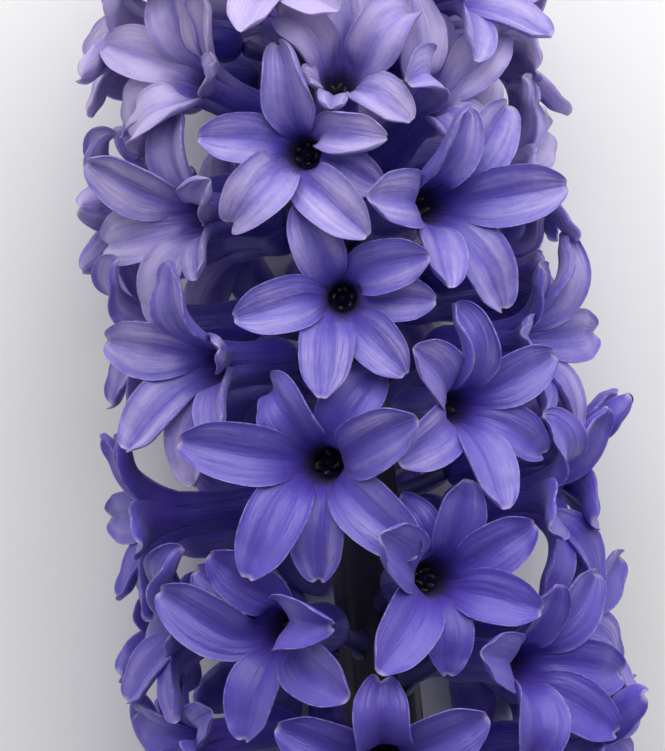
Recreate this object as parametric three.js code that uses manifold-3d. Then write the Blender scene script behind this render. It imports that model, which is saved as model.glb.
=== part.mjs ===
// A cut hyacinth spike, lying on its side. Millimetres and degrees, +Z up.
// The stalk runs along +Y from its cut end to the crown of the spike, and the surface it lies on is z = 0.

import * as THREE from "three";
import Module from "manifold-3d";

const wasm = await Module();
wasm.setup();

// ---- Driving dimensions: the stalk --------------------------------------------------------------

const AXIS_HEIGHT = 31;            // the stalk's axis above the surface
const STALK_PROFILE = [            // [distance from the cut end, radius]
  [0, 5.9],
  [3, 5.6],
  [95, 5.6],
  [150, 5.0],
  [190, 4.2],
  [208, 3.0],
  [217, 1.6],
];
const STALK_LENGTH = STALK_PROFILE[STALK_PROFILE.length - 1][0];
const STALK_SIDES = 12;
const PEDICEL_RADIUS = 1.2;
const PEDICEL_SIDES = 5;
const PEDICEL_RISE = 3;            // a pedicel leaves the stalk this much nearer to the cut end
const PEDICEL_FLARE = 1.3;         // a pedicel's foot is wider by this factor
const PEDICEL_DEPTH = 0.5;         // and starts at this share of the stalk's radius

// ---- Driving dimensions: the spike of florets ---------------------------------------------------

const SPIKE_START = 98;            // lowest throat, measured along the stalk from the cut end
const CROWN_START = 197;           // above this the florets lean more and more towards the tip
const CROWN_HEIGHT = 35;
const CROWN_LEAN = 78;             // lean of the topmost floret
const CROWN_SHRINK = 0.3;          // the topmost floret is smaller by this share
const CROWN_UNCURL = 20;           // and its lobes curl less by this angle
const THROAT_LOW = 27;             // distance of the throats from the axis, at the lowest floret
const THROAT_HIGH = 22.9;          // and where the crown starts
const GOLDEN_ANGLE = 137.508;      // turn from one floret to the next round the stalk
const SITE_RISE = 0.37;            // rise from one possible site to the next
const THROAT_SPACING = 17;         // florets stand at least this far apart at their throats
const BASE_SPACING = 6.6;          // and at their bases
const SEED = 7;

// ---- Driving dimensions: one floret -------------------------------------------------------------

const LOBES = 6;
const TUBE_SIDES = 12;
const TUBE_LENGTH = 13;
const TUBE_RINGS = [               // [distance behind the throat, radius] of the tube's outside
  [6, 2.9],
  [10, 3.2],
  [TUBE_LENGTH, 1.7],
];
const RIM_RADIUS = 2.75;           // where two lobes part
const THROAT_RADIUS = 2.45;        // inside, at the middle of a lobe
const CUP_DEPTH = 5;
const CUP_RADIUS = 1.9;
const PISTIL_HEIGHT = 2.6;
const LOBE_LENGTH = 15;
const LOBE_HALF_WIDTH = 4.0;
const LOBE_ROOT_HALF_WIDTH = 1.5;
const LOBE_WIDEST = 0.58;          // where along the lobe it is widest
const SHORT_NARROWING = 0.7;       // power by which a shorter lobe is narrower too
const LOBE_THICKNESS = 1.05;       // at the midrib; the margins are thin
const LOBE_CHANNEL = 0.35;         // how far the margins rise, as a share of the half-width
const ROOT_CURL = 15;              // a lobe leaves the tube at this angle to its axis
const CURL_EASE = 0.8;
const TURN_LENGTH = 0.35;          // share of the lobe that turns from its root to where it aims
const PATH_STEPS = 20;
const LOBE_STATIONS = [6, 12, 17]; // steps of the path where the lobe has a row of points
const OUTER_CURL = 112;            // the three outer lobes roll back further than the inner ones
const INNER_CURL = 98;
const AIM_SPREAD = 9;              // reach of the random draws that vary a lobe's aim,
const CURL_SPREAD = 12;            // its curl,
const LENGTH_SPREAD = 0.08;        // its length
const SWEEP_SPREAD = 14;           // and the sideways sweep of its tip
const JOINT_GAP = 0.3;             // left between neighbours
const SHARED_VOLUME = 1e-7;        // less than this is rounding, not an overlap
const FLOOR_DIP = 0.8;             // a lobe pressed on the surface is flattened by this much at most
const FLOOR_BLOCK = [200, 500, 20]; // what is cut away below the surface, larger than the flower
const SAME_PLACE = 1e-6;           // corners this near to each other are one

// How a lobe gives way to its neighbours: shorter, turned aside, or curled more or less.
const GIVE_LENGTHS = [1, 0.85, 0.7, 0.55];
const GIVE_TURNS = [0, -5, 5, -10, 10, -15, 15, -20, 20, -30, 30];
const GIVE_CURLS = [0, 6, -6, 12, -12, 18, -18, 24, -24, 36, -36, 48, -48];
const SHORTER_COST = 2;            // what one step to a shorter lobe counts against the others,
const TURN_COST = 0.1;             // a degree of turn
const CURL_COST = 0.085;           // and a degree of curl
const SHORT_LENGTHS = [0.7, 0.55, 0.45];
const SHORT_CURLS = [100, 130, 70, 40, 155];
const SHORTEST = { curl: 60, length: 0.35 };

// The florets that are seen first, chosen by hand. Each has its throat's distance from the cut end, its
// place round the stalk, its lean towards the tip and its size, and then its lobes as [aim, curl, length,
// sweep]. Those that are only seen edge-on have no lobes here, and draw them as the others do.
const SEEN_FLORETS = [
  [185.5, -8, 5, 1.0,
    [[0, 112], [108, 108, 0.85], [124, 140, 0.75], [138, 110, 1.1], [215, 108, 1.05], [282, 105, 0.9]]],
  [165.5, 0, 0, 1.0,
    [[-17, 115, 0.9], [68, 95, 0.95], [99, 110, 0.8], [149, 115, 0.9], [191, 92, 1.0], [261, 108]]],
  [143.5, -11, 0, 1.1,
    [[-15, 115, 0.9], [40, 120, 0.9], [84, 92, 1.05], [142, 115, 1.1], [172, 128, 0.9], [210, 112, 1.1],
      [286, 108, 1.15]]],
  [122, -28, 5, 1.1,
    [[-40, 85, 0.85], [85, 70, 0.95], [120, 105, 1.05], [204, 115, 0.9], [276, 105, 1.05],
      [314, 105, 1.1]]],
  [127, 19, 5, 1.1,
    [[-15, 85, 0.8], [33, 90, 0.8], [63, 105, 0.85], [115, 105, 0.85], [180, 125, 0.75],
      [240, 110, 1.15], [295, 95, 1.1]]],
  [177, 33, 0, 1.1,
    [[24, 95, 0.9], [44, 105], [85, 108, 1.05], [135, 125], [190, 110, 0.8], [275, 100, 0.95]]],
  [196.5, -44, 25, 1.0,
    [[-15, 90], [22, 80, 0.9], [81, 80, 0.6], [227, 120, 0.9], [250, 125], [307, 110]]],
  [194.5, 6, 30, 1.0,
    [[-36, 100], [5, 100], [44, 100], [139, 125, 0.8], [225, 100, 0.8], [296, 110]]],
  [190.5, 37, 30, 1.0,
    [[-20, 95], [30, 105, 0.9], [75, 110], [120, 115], [175, 80, 0.8], [265, 105]]],
  [158, -46, 0, 1.05,
    [[-1, 100], [81, 70, 0.6], [148, 90, 0.8], [184, 110], [216, 120], [285, 108]]],
  [178.5, -50, 0, 1.05,
    [[-8, 118], [60, 95, 0.7], [150, 95, 0.6], [209, 110], [265, 108], [312, 112]]],
  [157.5, 72, 0, 1.0,
    [[20, 110, 1.1], [88, 105, 1.05], [184, 120, 1.1], [217, 95, 0.8], [270, 110, 0.7], [325, 100, 0.8]]],
  [140.5, 92, 0, 1.0, [[-25, 80], [30, 75], [100, 110], [180, 110], [230, 110], [300, 120]]],
  [114, 44, -5, 1.05,
    [[19, 80, 0.8], [51, 100], [82, 115], [123, 110], [196, 110], [287, 100]]],
  [135.5, 66, 0, 1.0, [[-12, 90], [40, 100], [107, 110], [150, 110], [186, 140], [250, 100]]],
  [103, -1, -10, 1.05, [[4, 100], [66, 105], [120, 110], [180, 110], [240, 110], [290, 110]]],
  [119, 78, 0, 1.0],
  [182, 84, 5, 0.95],
  [168, 92, 0, 0.95],
  [138, -86, 0, 1.0],
  [164, -86, 0, 1.0],
  [123.5, -70, 0, 1.0],
  [106.5, -66, -5, 1.0],
];

// ---- Small helpers ------------------------------------------------------------------------------

const vec = (x, y, z) => new THREE.Vector3(x, y, z);
const mix = (from, to, share) => from + (to - from) * share;
const clamp = (value, low, high) => Math.min(high, Math.max(low, value));
const along = (start, ...steps) => {
  // The point reached from start by steps of [direction, distance].
  const point = start.clone();
  for (const [direction, distance] of steps) point.addScaledVector(direction, distance);
  return point;
};
const radians = THREE.MathUtils.degToRad;
const degrees = THREE.MathUtils.radToDeg;

function seededRandom(seed) {
  let state = seed >>> 0;
  return () => {
    state = (state + 0x6d2b79f5) >>> 0;
    let mixed = Math.imul(state ^ (state >>> 15), state | 1);
    mixed ^= mixed + Math.imul(mixed ^ (mixed >>> 7), mixed | 61);
    return ((mixed ^ (mixed >>> 14)) >>> 0) / 4294967296;
  };
}

const random = seededRandom(SEED);
const spread = (reach) => (2 * random() - 1) * reach;

// ---- Solids -------------------------------------------------------------------------------------

function solidOf({ points, faces }) {
  const vertProperties = new Float32Array(points.flatMap((point) => [point.x, point.y, point.z]));
  const triVerts = new Uint32Array(faces.flat());
  return new wasm.Manifold(new wasm.Mesh({ numProp: 3, vertProperties, triVerts }));
}

function quad(faces, a, b, c, d) {
  faces.push([a, b, c], [a, c, d]);
}

// A closed skin over rings of points, with flat or pointed ends.
function skinOver(rings) {
  const points = rings.flat();
  const sides = rings[0].length;
  const faces = [];
  for (let ring = 0; ring + 1 < rings.length; ring += 1) {
    for (let side = 0; side < sides; side += 1) {
      const here = ring * sides;
      const next = (side + 1) % sides;
      quad(faces, here + side, here + sides + side, here + sides + next, here + next);
    }
  }
  const last = (rings.length - 1) * sides;
  for (let side = 1; side + 1 < sides; side += 1) {
    faces.push([0, side, side + 1]);
    faces.push([last, last + side + 1, last + side]);
  }
  return { points, faces };
}

// A ring of points round a direction. The angle runs clockwise, seen from where the direction points.
function ringOf(center, up, right, radius, sides, turn = 0) {
  return Array.from({ length: sides }, (_, side) => {
    const angle = radians(turn + (360 * side) / sides);
    return along(center, [up, radius * Math.cos(angle)], [right, radius * Math.sin(angle)]);
  });
}

function boxOf(points) {
  return new THREE.Box3().setFromPoints(points);
}

// ---- Where the florets stand --------------------------------------------------------------------

function stalkRadius(height) {
  let [before] = STALK_PROFILE;
  for (const row of STALK_PROFILE) {
    if (height <= row[0]) {
      return row[0] === before[0] ? row[1]
        : mix(before[1], row[1], (height - before[0]) / (row[0] - before[0]));
    }
    before = row;
  }
  return before[1];
}

function throatDistance(height) {
  const share = (height - SPIKE_START) / (CROWN_START - SPIKE_START);
  return mix(THROAT_LOW, THROAT_HIGH, share);
}

// A floret's own directions: its axis points out of its throat, and up leans to the tip of the spike.
function placeFloret(height, around, lean, size, distance) {
  const radial = vec(Math.sin(radians(around)), 0, Math.cos(radians(around)));
  const axis = along(vec(0, Math.sin(radians(lean)), 0), [radial, Math.cos(radians(lean))]);
  const throat = along(vec(0, height, AXIS_HEIGHT), [radial, distance]);
  const up = along(vec(0, 1, 0), [axis, -axis.y]).normalize();
  const right = vec(0, 0, 0).crossVectors(up, axis);
  const base = along(throat, [axis, -TUBE_LENGTH * size]);
  return { height, around, radial, axis, throat, up, right, base, size };
}

function drawLobes(uncurl) {
  const roll = (360 / LOBES) * random();
  return Array.from({ length: LOBES }, (_, lobe) => [
    roll + (360 / LOBES) * lobe + spread(AIM_SPREAD),
    (lobe % 2 === 0 ? OUTER_CURL : INNER_CURL) - uncurl + spread(CURL_SPREAD),
    1 + spread(LENGTH_SPREAD),
    spread(SWEEP_SPREAD),
  ]);
}

function placeSeenFloret([height, around, lean, size, lobes]) {
  const floret = placeFloret(height, around, lean, size, throatDistance(height));
  return { ...floret, lobes: lobes ?? drawLobes(0) };
}

// The other florets stand where the spiral round the stalk has room for them. In the crown the sites
// lie on a dome, and the florets get smaller and lean towards the tip.
function placeOtherFlorets(florets) {
  const sites = (CROWN_START + CROWN_HEIGHT - SPIKE_START) / SITE_RISE;
  for (let site = 0; site < sites; site += 1) {
    const height = SPIKE_START + site * SITE_RISE;
    const around = site * GOLDEN_ANGLE;
    const crown = clamp((height - CROWN_START) / CROWN_HEIGHT, 0, 1);
    const slope = Math.asin(crown);
    const distance = crown > 0 ? THROAT_HIGH * Math.cos(slope) : throatDistance(height);
    const lean = crown > 0 ? Math.min(degrees(slope), CROWN_LEAN) : 0;
    const floret = placeFloret(height, around, lean, 1 - CROWN_SHRINK * crown, distance);
    const room = florets.every((other) =>
      other.throat.distanceTo(floret.throat) >= THROAT_SPACING * Math.min(floret.size, other.size)
      && other.base.distanceTo(floret.base) >= BASE_SPACING * Math.min(floret.size, other.size));
    if (room) florets.push({ ...floret, lobes: drawLobes(CROWN_UNCURL * crown) });
  }
}

// ---- The shape of a lobe ------------------------------------------------------------------------

function lobeHalfWidth(share) {
  if (share < LOBE_WIDEST) {
    const rise = Math.sin((Math.PI / 2) * (share / LOBE_WIDEST)) ** 2;
    return mix(LOBE_ROOT_HALF_WIDTH, LOBE_HALF_WIDTH, rise);
  }
  return LOBE_HALF_WIDTH * Math.sqrt(1 - ((share - LOBE_WIDEST) / (1 - LOBE_WIDEST)) ** 2);
}

// The azimuths at which the lobes leave the rim: even steps, rolled to suit where they aim.
function rootAzimuths(lobes) {
  const step = 360 / lobes.length;
  let sine = 0;
  let cosine = 0;
  lobes.forEach(([aim], lobe) => {
    sine += Math.sin(radians(aim - step * lobe));
    cosine += Math.cos(radians(aim - step * lobe));
  });
  const roll = degrees(Math.atan2(sine, cosine));
  return lobes.map((_, lobe) => roll + step * lobe);
}

// The midrib's path, as points with the direction across the lobe and the normal of its inner face.
function midrib(floret, root, [aim, curl, length = 1, sweep = 0]) {
  const { axis, up, right, throat, size } = floret;
  const rootAngle = radians(root);
  const out = along(vec(0, 0, 0), [up, Math.cos(rootAngle)], [right, Math.sin(rootAngle)]);
  let point = along(throat, [out, THROAT_RADIUS * size]);
  const path = [];
  for (let step = 0; step <= PATH_STEPS; step += 1) {
    const share = step / PATH_STEPS;
    const bend = radians(mix(ROOT_CURL, curl, share ** CURL_EASE));
    const eased = clamp(share / TURN_LENGTH, 0, 1);
    const azimuth = radians(mix(root, aim, eased * eased * (3 - 2 * eased)) + sweep * share);
    const outward = along(vec(0, 0, 0), [up, Math.cos(azimuth)], [right, Math.sin(azimuth)]);
    const across = along(vec(0, 0, 0), [up, -Math.sin(azimuth)], [right, Math.cos(azimuth)]);
    const normal = along(vec(0, 0, 0), [outward, -Math.cos(bend)], [axis, Math.sin(bend)]);
    path.push({ share, point, across, normal });
    const advance = (LOBE_LENGTH * length * size) / PATH_STEPS;
    point = along(point, [outward, Math.sin(bend) * advance], [axis, Math.cos(bend) * advance]);
  }
  return path;
}

// Rows of points across a lobe: both margins, and the inner and the outer side of the midrib. With a
// gap the lobe is that much larger all round, which keeps its neighbours clear.
function lobeRows(floret, root, lobe, gap = 0) {
  const path = midrib(floret, root, lobe);
  const thickness = LOBE_THICKNESS * floret.size;
  const breadth = floret.size * Math.min(1, lobe[2] ?? 1) ** SHORT_NARROWING;
  const rows = LOBE_STATIONS.map((station) => {
    const { share, point, across, normal } = path[station];
    const width = lobeHalfWidth(share) * breadth;
    const rise = LOBE_CHANNEL * width;
    return {
      left: along(point, [across, -width - gap], [normal, rise]),
      right: along(point, [across, width + gap], [normal, rise]),
      inner: along(point, [normal, gap]),
      outer: along(point, [normal, -thickness - gap]),
    };
  });
  const first = path[0];
  const end = path[PATH_STEPS];
  const heading = vec(0, 0, 0).crossVectors(end.across, end.normal).normalize();
  const tip = along(end.point, [heading, gap], [end.normal, -thickness / 4]);
  const foot = {
    inner: along(first.point, [first.normal, gap]),
    outer: along(first.point, [first.normal, -thickness - gap]),
  };
  return { rows, tip, foot };
}

function rimPoint(floret, azimuth) {
  const reach = RIM_RADIUS * floret.size;
  return along(floret.throat, [floret.up, reach * Math.cos(radians(azimuth))],
    [floret.right, reach * Math.sin(radians(azimuth))]);
}

// Adds a lobe's inner and outer skin to a mesh, from rows of point numbers.
function skinLobe(faces, rows, tip) {
  for (let row = 0; row + 1 < rows.length; row += 1) {
    const low = rows[row];
    const high = rows[row + 1];
    quad(faces, low.left, high.left, high.outer, low.outer);
    quad(faces, low.right, low.outer, high.outer, high.right);
    quad(faces, low.left, low.inner, high.inner, high.left);
    quad(faces, low.right, high.right, high.inner, low.inner);
  }
  const last = rows[rows.length - 1];
  faces.push([last.left, tip, last.outer], [last.outer, tip, last.right]);
  faces.push([last.inner, tip, last.left], [last.right, tip, last.inner]);
}

// A lobe as a solid by itself, closed at its foot.
function lobeSolid(floret, root, lobe, step, gap) {
  const { rows, tip, foot } = lobeRows(floret, root, lobe, gap);
  const whole = [
    { left: rimPoint(floret, root - step / 2), right: rimPoint(floret, root + step / 2), ...foot },
    ...rows,
  ];
  const points = [];
  const numbered = whole.map((row) => {
    points.push(row.left, row.right, row.inner, row.outer);
    const count = points.length;
    return { left: count - 4, right: count - 3, inner: count - 2, outer: count - 1 };
  });
  points.push(tip);
  const faces = [];
  skinLobe(faces, numbered, points.length - 1);
  faces.push([numbered[0].outer, numbered[0].inner, numbered[0].left]);
  faces.push([numbered[0].inner, numbered[0].outer, numbered[0].right]);
  return { solid: solidOf({ points, faces }), box: boxOf(points) };
}

// ---- Bending lobes clear of their neighbours ----------------------------------------------------

// The ways in which a lobe may give way, from the least bend to the most.
const BENDS = GIVE_LENGTHS.flatMap((length, shorter) =>
  GIVE_TURNS.flatMap((turn) =>
    GIVE_CURLS.map((curl) => ({
      turn,
      curl,
      length,
      cost: SHORTER_COST * shorter + TURN_COST * Math.abs(turn) + CURL_COST * Math.abs(curl),
    })))).sort((a, b) => a.cost - b.cost);

// The shapes that a lobe tries in turn: as it aims, then bent, and at last straight out and short.
function shapesToTry(root, [aim, curl, length = 1, sweep = 0]) {
  return [
    ...BENDS.map((bend) => [aim + bend.turn, curl + bend.curl, length * bend.length, sweep]),
    ...SHORT_LENGTHS.flatMap((shorter) => SHORT_CURLS.map((bend) => [root, bend, shorter, 0])),
    [root, SHORTEST.curl, SHORTEST.length, 0],
  ];
}

function meets(a, b) {
  if (!a.box.intersectsBox(b.box)) return false;
  const shared = a.solid.intersect(b.solid);
  const volume = shared.volume();
  shared.delete();
  return volume > SHARED_VOLUME;
}

const floorBlock = (() => {
  const block = new THREE.BoxGeometry(...FLOOR_BLOCK).translate(0, SPIKE_START, -FLOOR_BLOCK[2] / 2);
  const { position } = block.attributes;
  const corners = [];
  const numbers = Array.from({ length: position.count }, (_, row) => {
    const corner = vec(0, 0, 0).fromBufferAttribute(position, row);
    const known = corners.findIndex((other) => other.distanceTo(corner) < SAME_PLACE);
    return known >= 0 ? known : corners.push(corner) - 1;
  });
  const faces = [];
  for (let row = 0; row < block.index.count; row += 3) {
    faces.push([0, 1, 2].map((corner) => numbers[block.index.getX(row + corner)]));
  }
  return solidOf({ points: corners, faces });
})();

// A lobe may touch the surface and lie flat on it, but not go far below it or be cut in two.
function lies(lobe) {
  if (lobe.box.min.z >= 0) return true;
  if (lobe.box.min.z < -FLOOR_DIP) return false;
  const flattened = lobe.solid.subtract(floorBlock);
  const pieces = flattened.decompose();
  const whole = pieces.length === 1;
  for (const piece of pieces) piece.delete();
  flattened.delete();
  return whole;
}

// The room at a throat that each lobe needs even at its shortest.
function reserveRoom(floret) {
  const step = 360 / floret.lobes.length;
  return rootAzimuths(floret.lobes).map((root, number) => ({
    floret, number, ...lobeSolid(floret, root, [root, SHORTEST.curl, SHORTEST.length, 0], step, 0),
  }));
}

// Bends each lobe of a floret clear of the tubes, of the lobes that have their place already and of the
// room that the others still need.
function fitLobes(floret, tubes, taken, reserved) {
  const step = 360 / floret.lobes.length;
  const roots = rootAzimuths(floret.lobes);
  const own = [];
  floret.fitted = floret.lobes.map((lobe, number) => {
    const root = roots[number];
    const awaited = reserved.filter((room) => room.floret === floret && room.number > number);
    const foreign = reserved.filter((room) => room.floret !== floret && !room.floret.fitted);
    const shapes = shapesToTry(root, lobe);
    const chosen = shapes.find((shape, attempt) => {
      const plain = lobeSolid(floret, root, shape, step, 0);
      const roomy = lobeSolid(floret, root, shape, step, JOINT_GAP);
      const near = (other) => meets(roomy, other) || meets(plain, other);
      const blocked = !lies(plain)
        || tubes.some((tube) => tube.floret !== floret && near(tube))
        || [...taken, ...foreign].some(near)
        || [...own, ...awaited].some((other) => meets(plain, other));
      roomy.solid.delete();
      const kept = !blocked || attempt === shapes.length - 1;
      if (kept) own.push(plain);
      else plain.solid.delete();
      return kept;
    });
    return { root, shape: chosen };
  });
  taken.push(...own);
}

// ---- The pieces ---------------------------------------------------------------------------------

// The outside of a floret's tube by itself, which the lobes of the others stay clear of.
function tubeSolid(floret) {
  const { throat, axis, up, right, size } = floret;
  const rings = [...TUBE_RINGS].reverse().map(([behind, radius]) =>
    ringOf(along(throat, [axis, -behind * size]), up, right, radius * size, TUBE_SIDES));
  const rim = (THROAT_RADIUS + LOBE_THICKNESS) * size + JOINT_GAP;
  rings.push(ringOf(throat, up, right, rim, TUBE_SIDES));
  const skin = skinOver(rings);
  return { solid: solidOf(skin), box: boxOf(skin.points), floret };
}

// One floret: a tube with its ovary, the cup of the throat with the pistil in it, and the lobes.
function floretSkin(floret) {
  const { throat, axis, up, right, size, fitted } = floret;
  const count = fitted.length;
  const step = 360 / count;
  const points = [];
  const faces = [];
  const add = (point) => points.push(point) - 1;
  const addRing = (behind, radius) => ringOf(along(throat, [axis, -behind * size]), up, right,
    radius * size, count, fitted[0].root).map(add);

  const rim = fitted.map(({ root }) => add(rimPoint(floret, root + step / 2)));
  const feet = fitted.map(({ root, shape }, lobe) => {
    const { rows, tip, foot } = lobeRows(floret, root, shape);
    const first = {
      left: rim[(lobe + count - 1) % count],
      right: rim[lobe],
      inner: add(foot.inner),
      outer: add(foot.outer),
    };
    const others = rows.map((row) => ({
      left: add(row.left), right: add(row.right), inner: add(row.inner), outer: add(row.outer),
    }));
    skinLobe(faces, [first, ...others], add(tip));
    return first;
  });

  const outside = TUBE_RINGS.map(([behind, radius]) => addRing(behind, radius));
  const floor = addRing(CUP_DEPTH, CUP_RADIUS);
  const pistil = add(along(throat, [axis, (PISTIL_HEIGHT - CUP_DEPTH) * size]));
  for (let lobe = 0; lobe < count; lobe += 1) {
    const next = (lobe + 1) % count;
    const here = feet[lobe];
    const there = feet[next];
    const [top] = outside;
    faces.push([top[lobe], here.outer, here.right], [top[lobe], here.right, top[next]]);
    faces.push([top[next], here.right, there.outer]);
    faces.push([floor[lobe], here.right, here.inner], [floor[lobe], floor[next], here.right]);
    faces.push([floor[next], there.inner, here.right]);
    faces.push([floor[next], floor[lobe], pistil]);
    for (let ring = 0; ring + 1 < outside.length; ring += 1) {
      quad(faces, outside[ring + 1][lobe], outside[ring][lobe], outside[ring][next],
        outside[ring + 1][next]);
    }
  }
  const base = outside[outside.length - 1];
  for (let side = 1; side + 1 < count; side += 1) faces.push([base[0], base[side], base[side + 1]]);
  return { points, faces };
}

function pedicelSkin(floret) {
  const { base, axis, radial, size } = floret;
  const foot = Math.min(base.y, STALK_LENGTH) - PEDICEL_RISE;
  const start = along(vec(0, foot, AXIS_HEIGHT), [radial, stalkRadius(foot) * PEDICEL_DEPTH]);
  const end = along(base, [axis, -JOINT_GAP]);
  const heading = end.clone().sub(start).normalize();
  const up = along(floret.up, [heading, -floret.up.dot(heading)]).normalize();
  const right = vec(0, 0, 0).crossVectors(up, heading);
  return skinOver([
    ringOf(start, up, right, PEDICEL_RADIUS * size * PEDICEL_FLARE, PEDICEL_SIDES),
    ringOf(end, floret.up, floret.right, PEDICEL_RADIUS * size, PEDICEL_SIDES),
  ]);
}

function stemSolid(florets) {
  const rings = STALK_PROFILE.map(([height, radius]) =>
    ringOf(vec(0, height, AXIS_HEIGHT), vec(0, 0, 1), vec(-1, 0, 0), radius, STALK_SIDES));
  let stem = solidOf(skinOver(rings));
  for (const floret of florets) stem = stem.add(solidOf(pedicelSkin(floret)));
  return stem;
}

function geometryOf(solid) {
  const { vertProperties, triVerts } = solid.getMesh();
  const geometry = new THREE.BufferGeometry();
  geometry.setAttribute("position", new THREE.BufferAttribute(new Float32Array(vertProperties), 3));
  geometry.setIndex(new THREE.BufferAttribute(new Uint32Array(triVerts), 1));
  geometry.computeVertexNormals();
  return geometry;
}

// ---- The flower ---------------------------------------------------------------------------------

const petal = new THREE.MeshStandardMaterial({ name: "petal", color: 0x6d60b8, roughness: 0.5 });
const stalk = new THREE.MeshStandardMaterial({ name: "stalk", color: 0x2b2337, roughness: 0.45 });

const florets = SEEN_FLORETS.map(placeSeenFloret);
placeOtherFlorets(florets);

const stem = stemSolid(florets);
const { min, max } = stem.boundingBox();
const tubes = [{ solid: stem, box: boxOf([vec(...min), vec(...max)]) }, ...florets.map(tubeSolid)];
const reserved = florets.flatMap(reserveRoom);
const taken = [];
const seen = florets.slice(0, SEEN_FLORETS.length);
const others = florets.slice(SEEN_FLORETS.length).sort((a, b) => b.throat.z - a.throat.z);
for (const floret of [...seen, ...others]) fitLobes(floret, tubes, taken, reserved);

const group = new THREE.Group();
function addPiece(name, solid, material) {
  const mesh = new THREE.Mesh(geometryOf(solid), material);
  mesh.name = name;
  group.add(mesh);
}

addPiece("stem", stem, stalk);
florets.forEach((floret, number) => {
  const whole = solidOf(floretSkin(floret));
  addPiece(`floret_${String(number + 1).padStart(2, "0")}`, whole.subtract(floorBlock), petal);
});

// The origin is under the middle of the whole, on the surface.
const middle = new THREE.Box3().setFromObject(group).getCenter(vec(0, 0, 0));
group.position.set(-middle.x, -middle.y, 0);

export default group;
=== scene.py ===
import math
import operator
import random
from functools import reduce

import bmesh
import bpy
import numpy as np
from bpy.props import FloatProperty, FloatVectorProperty, IntProperty, PointerProperty
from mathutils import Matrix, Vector
from mathutils.bvhtree import BVHTree


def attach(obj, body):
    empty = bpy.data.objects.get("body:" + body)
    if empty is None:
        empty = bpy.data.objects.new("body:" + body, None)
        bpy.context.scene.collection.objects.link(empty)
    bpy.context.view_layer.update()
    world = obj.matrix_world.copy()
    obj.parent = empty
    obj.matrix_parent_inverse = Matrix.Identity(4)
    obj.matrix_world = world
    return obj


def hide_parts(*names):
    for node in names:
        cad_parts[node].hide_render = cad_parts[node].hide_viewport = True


bl_info = {
    "name": "Hyacinth flower",
    "version": (1, 0, 0),
    "blender": (4, 5, 0),
    "location": "View3D > Sidebar > Hyacinth",
    "description": "A cut hyacinth spike on its side: fleshy florets, stalk and a studio stage",
    "category": "Object",
}

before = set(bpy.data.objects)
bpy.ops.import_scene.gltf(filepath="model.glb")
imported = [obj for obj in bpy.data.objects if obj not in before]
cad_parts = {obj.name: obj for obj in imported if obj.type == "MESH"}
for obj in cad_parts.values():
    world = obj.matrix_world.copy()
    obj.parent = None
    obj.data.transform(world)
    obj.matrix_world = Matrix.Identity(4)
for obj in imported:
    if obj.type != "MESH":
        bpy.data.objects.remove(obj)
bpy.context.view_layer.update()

# ---- The plant's driving dimensions, in millimetres and degrees, as its solids have them ---------
# Plant coordinates: +Y along the stalk from its cut end, +Z up from the surface it lies on.

MM = 0.001
AXIS_HEIGHT = 31
STALK_PROFILE = [[0, 5.9], [3, 5.6], [95, 5.6], [150, 5.0], [190, 4.2], [208, 3.0], [217, 1.6]]
PEDICEL_RADIUS = 1.2
PEDICEL_RISE = 3
SPIKE_START = 98
CROWN_START = 197
CROWN_HEIGHT = 35
CROWN_LEAN = 78
CROWN_SHRINK = 0.3
CROWN_UNCURL = 20
THROAT_LOW = 27
THROAT_HIGH = 22.9
GOLDEN_ANGLE = 137.508
SITE_RISE = 0.37
THROAT_SPACING = 17
BASE_SPACING = 6.6
SEED = 7
LOBES = 6
TUBE_LENGTH = 13
RIM_RADIUS = 2.75
THROAT_RADIUS = 2.45
CUP_DEPTH = 5
PISTIL_HEIGHT = 2.6
LOBE_LENGTH = 15
LOBE_HALF_WIDTH = 4.0
LOBE_ROOT_HALF_WIDTH = 1.5
LOBE_WIDEST = 0.58
SHORT_NARROWING = 0.7
LOBE_THICKNESS = 1.05
LOBE_CHANNEL = 0.35
ROOT_CURL = 15
CURL_EASE = 0.8
TURN_LENGTH = 0.35
PATH_STEPS = 20
LOBE_STATIONS = [6, 12, 17]
OUTER_CURL = 112
INNER_CURL = 98
AIM_SPREAD = 9
CURL_SPREAD = 12
LENGTH_SPREAD = 0.08
SWEEP_SPREAD = 14
FLOOR_DIP = 0.8

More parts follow.
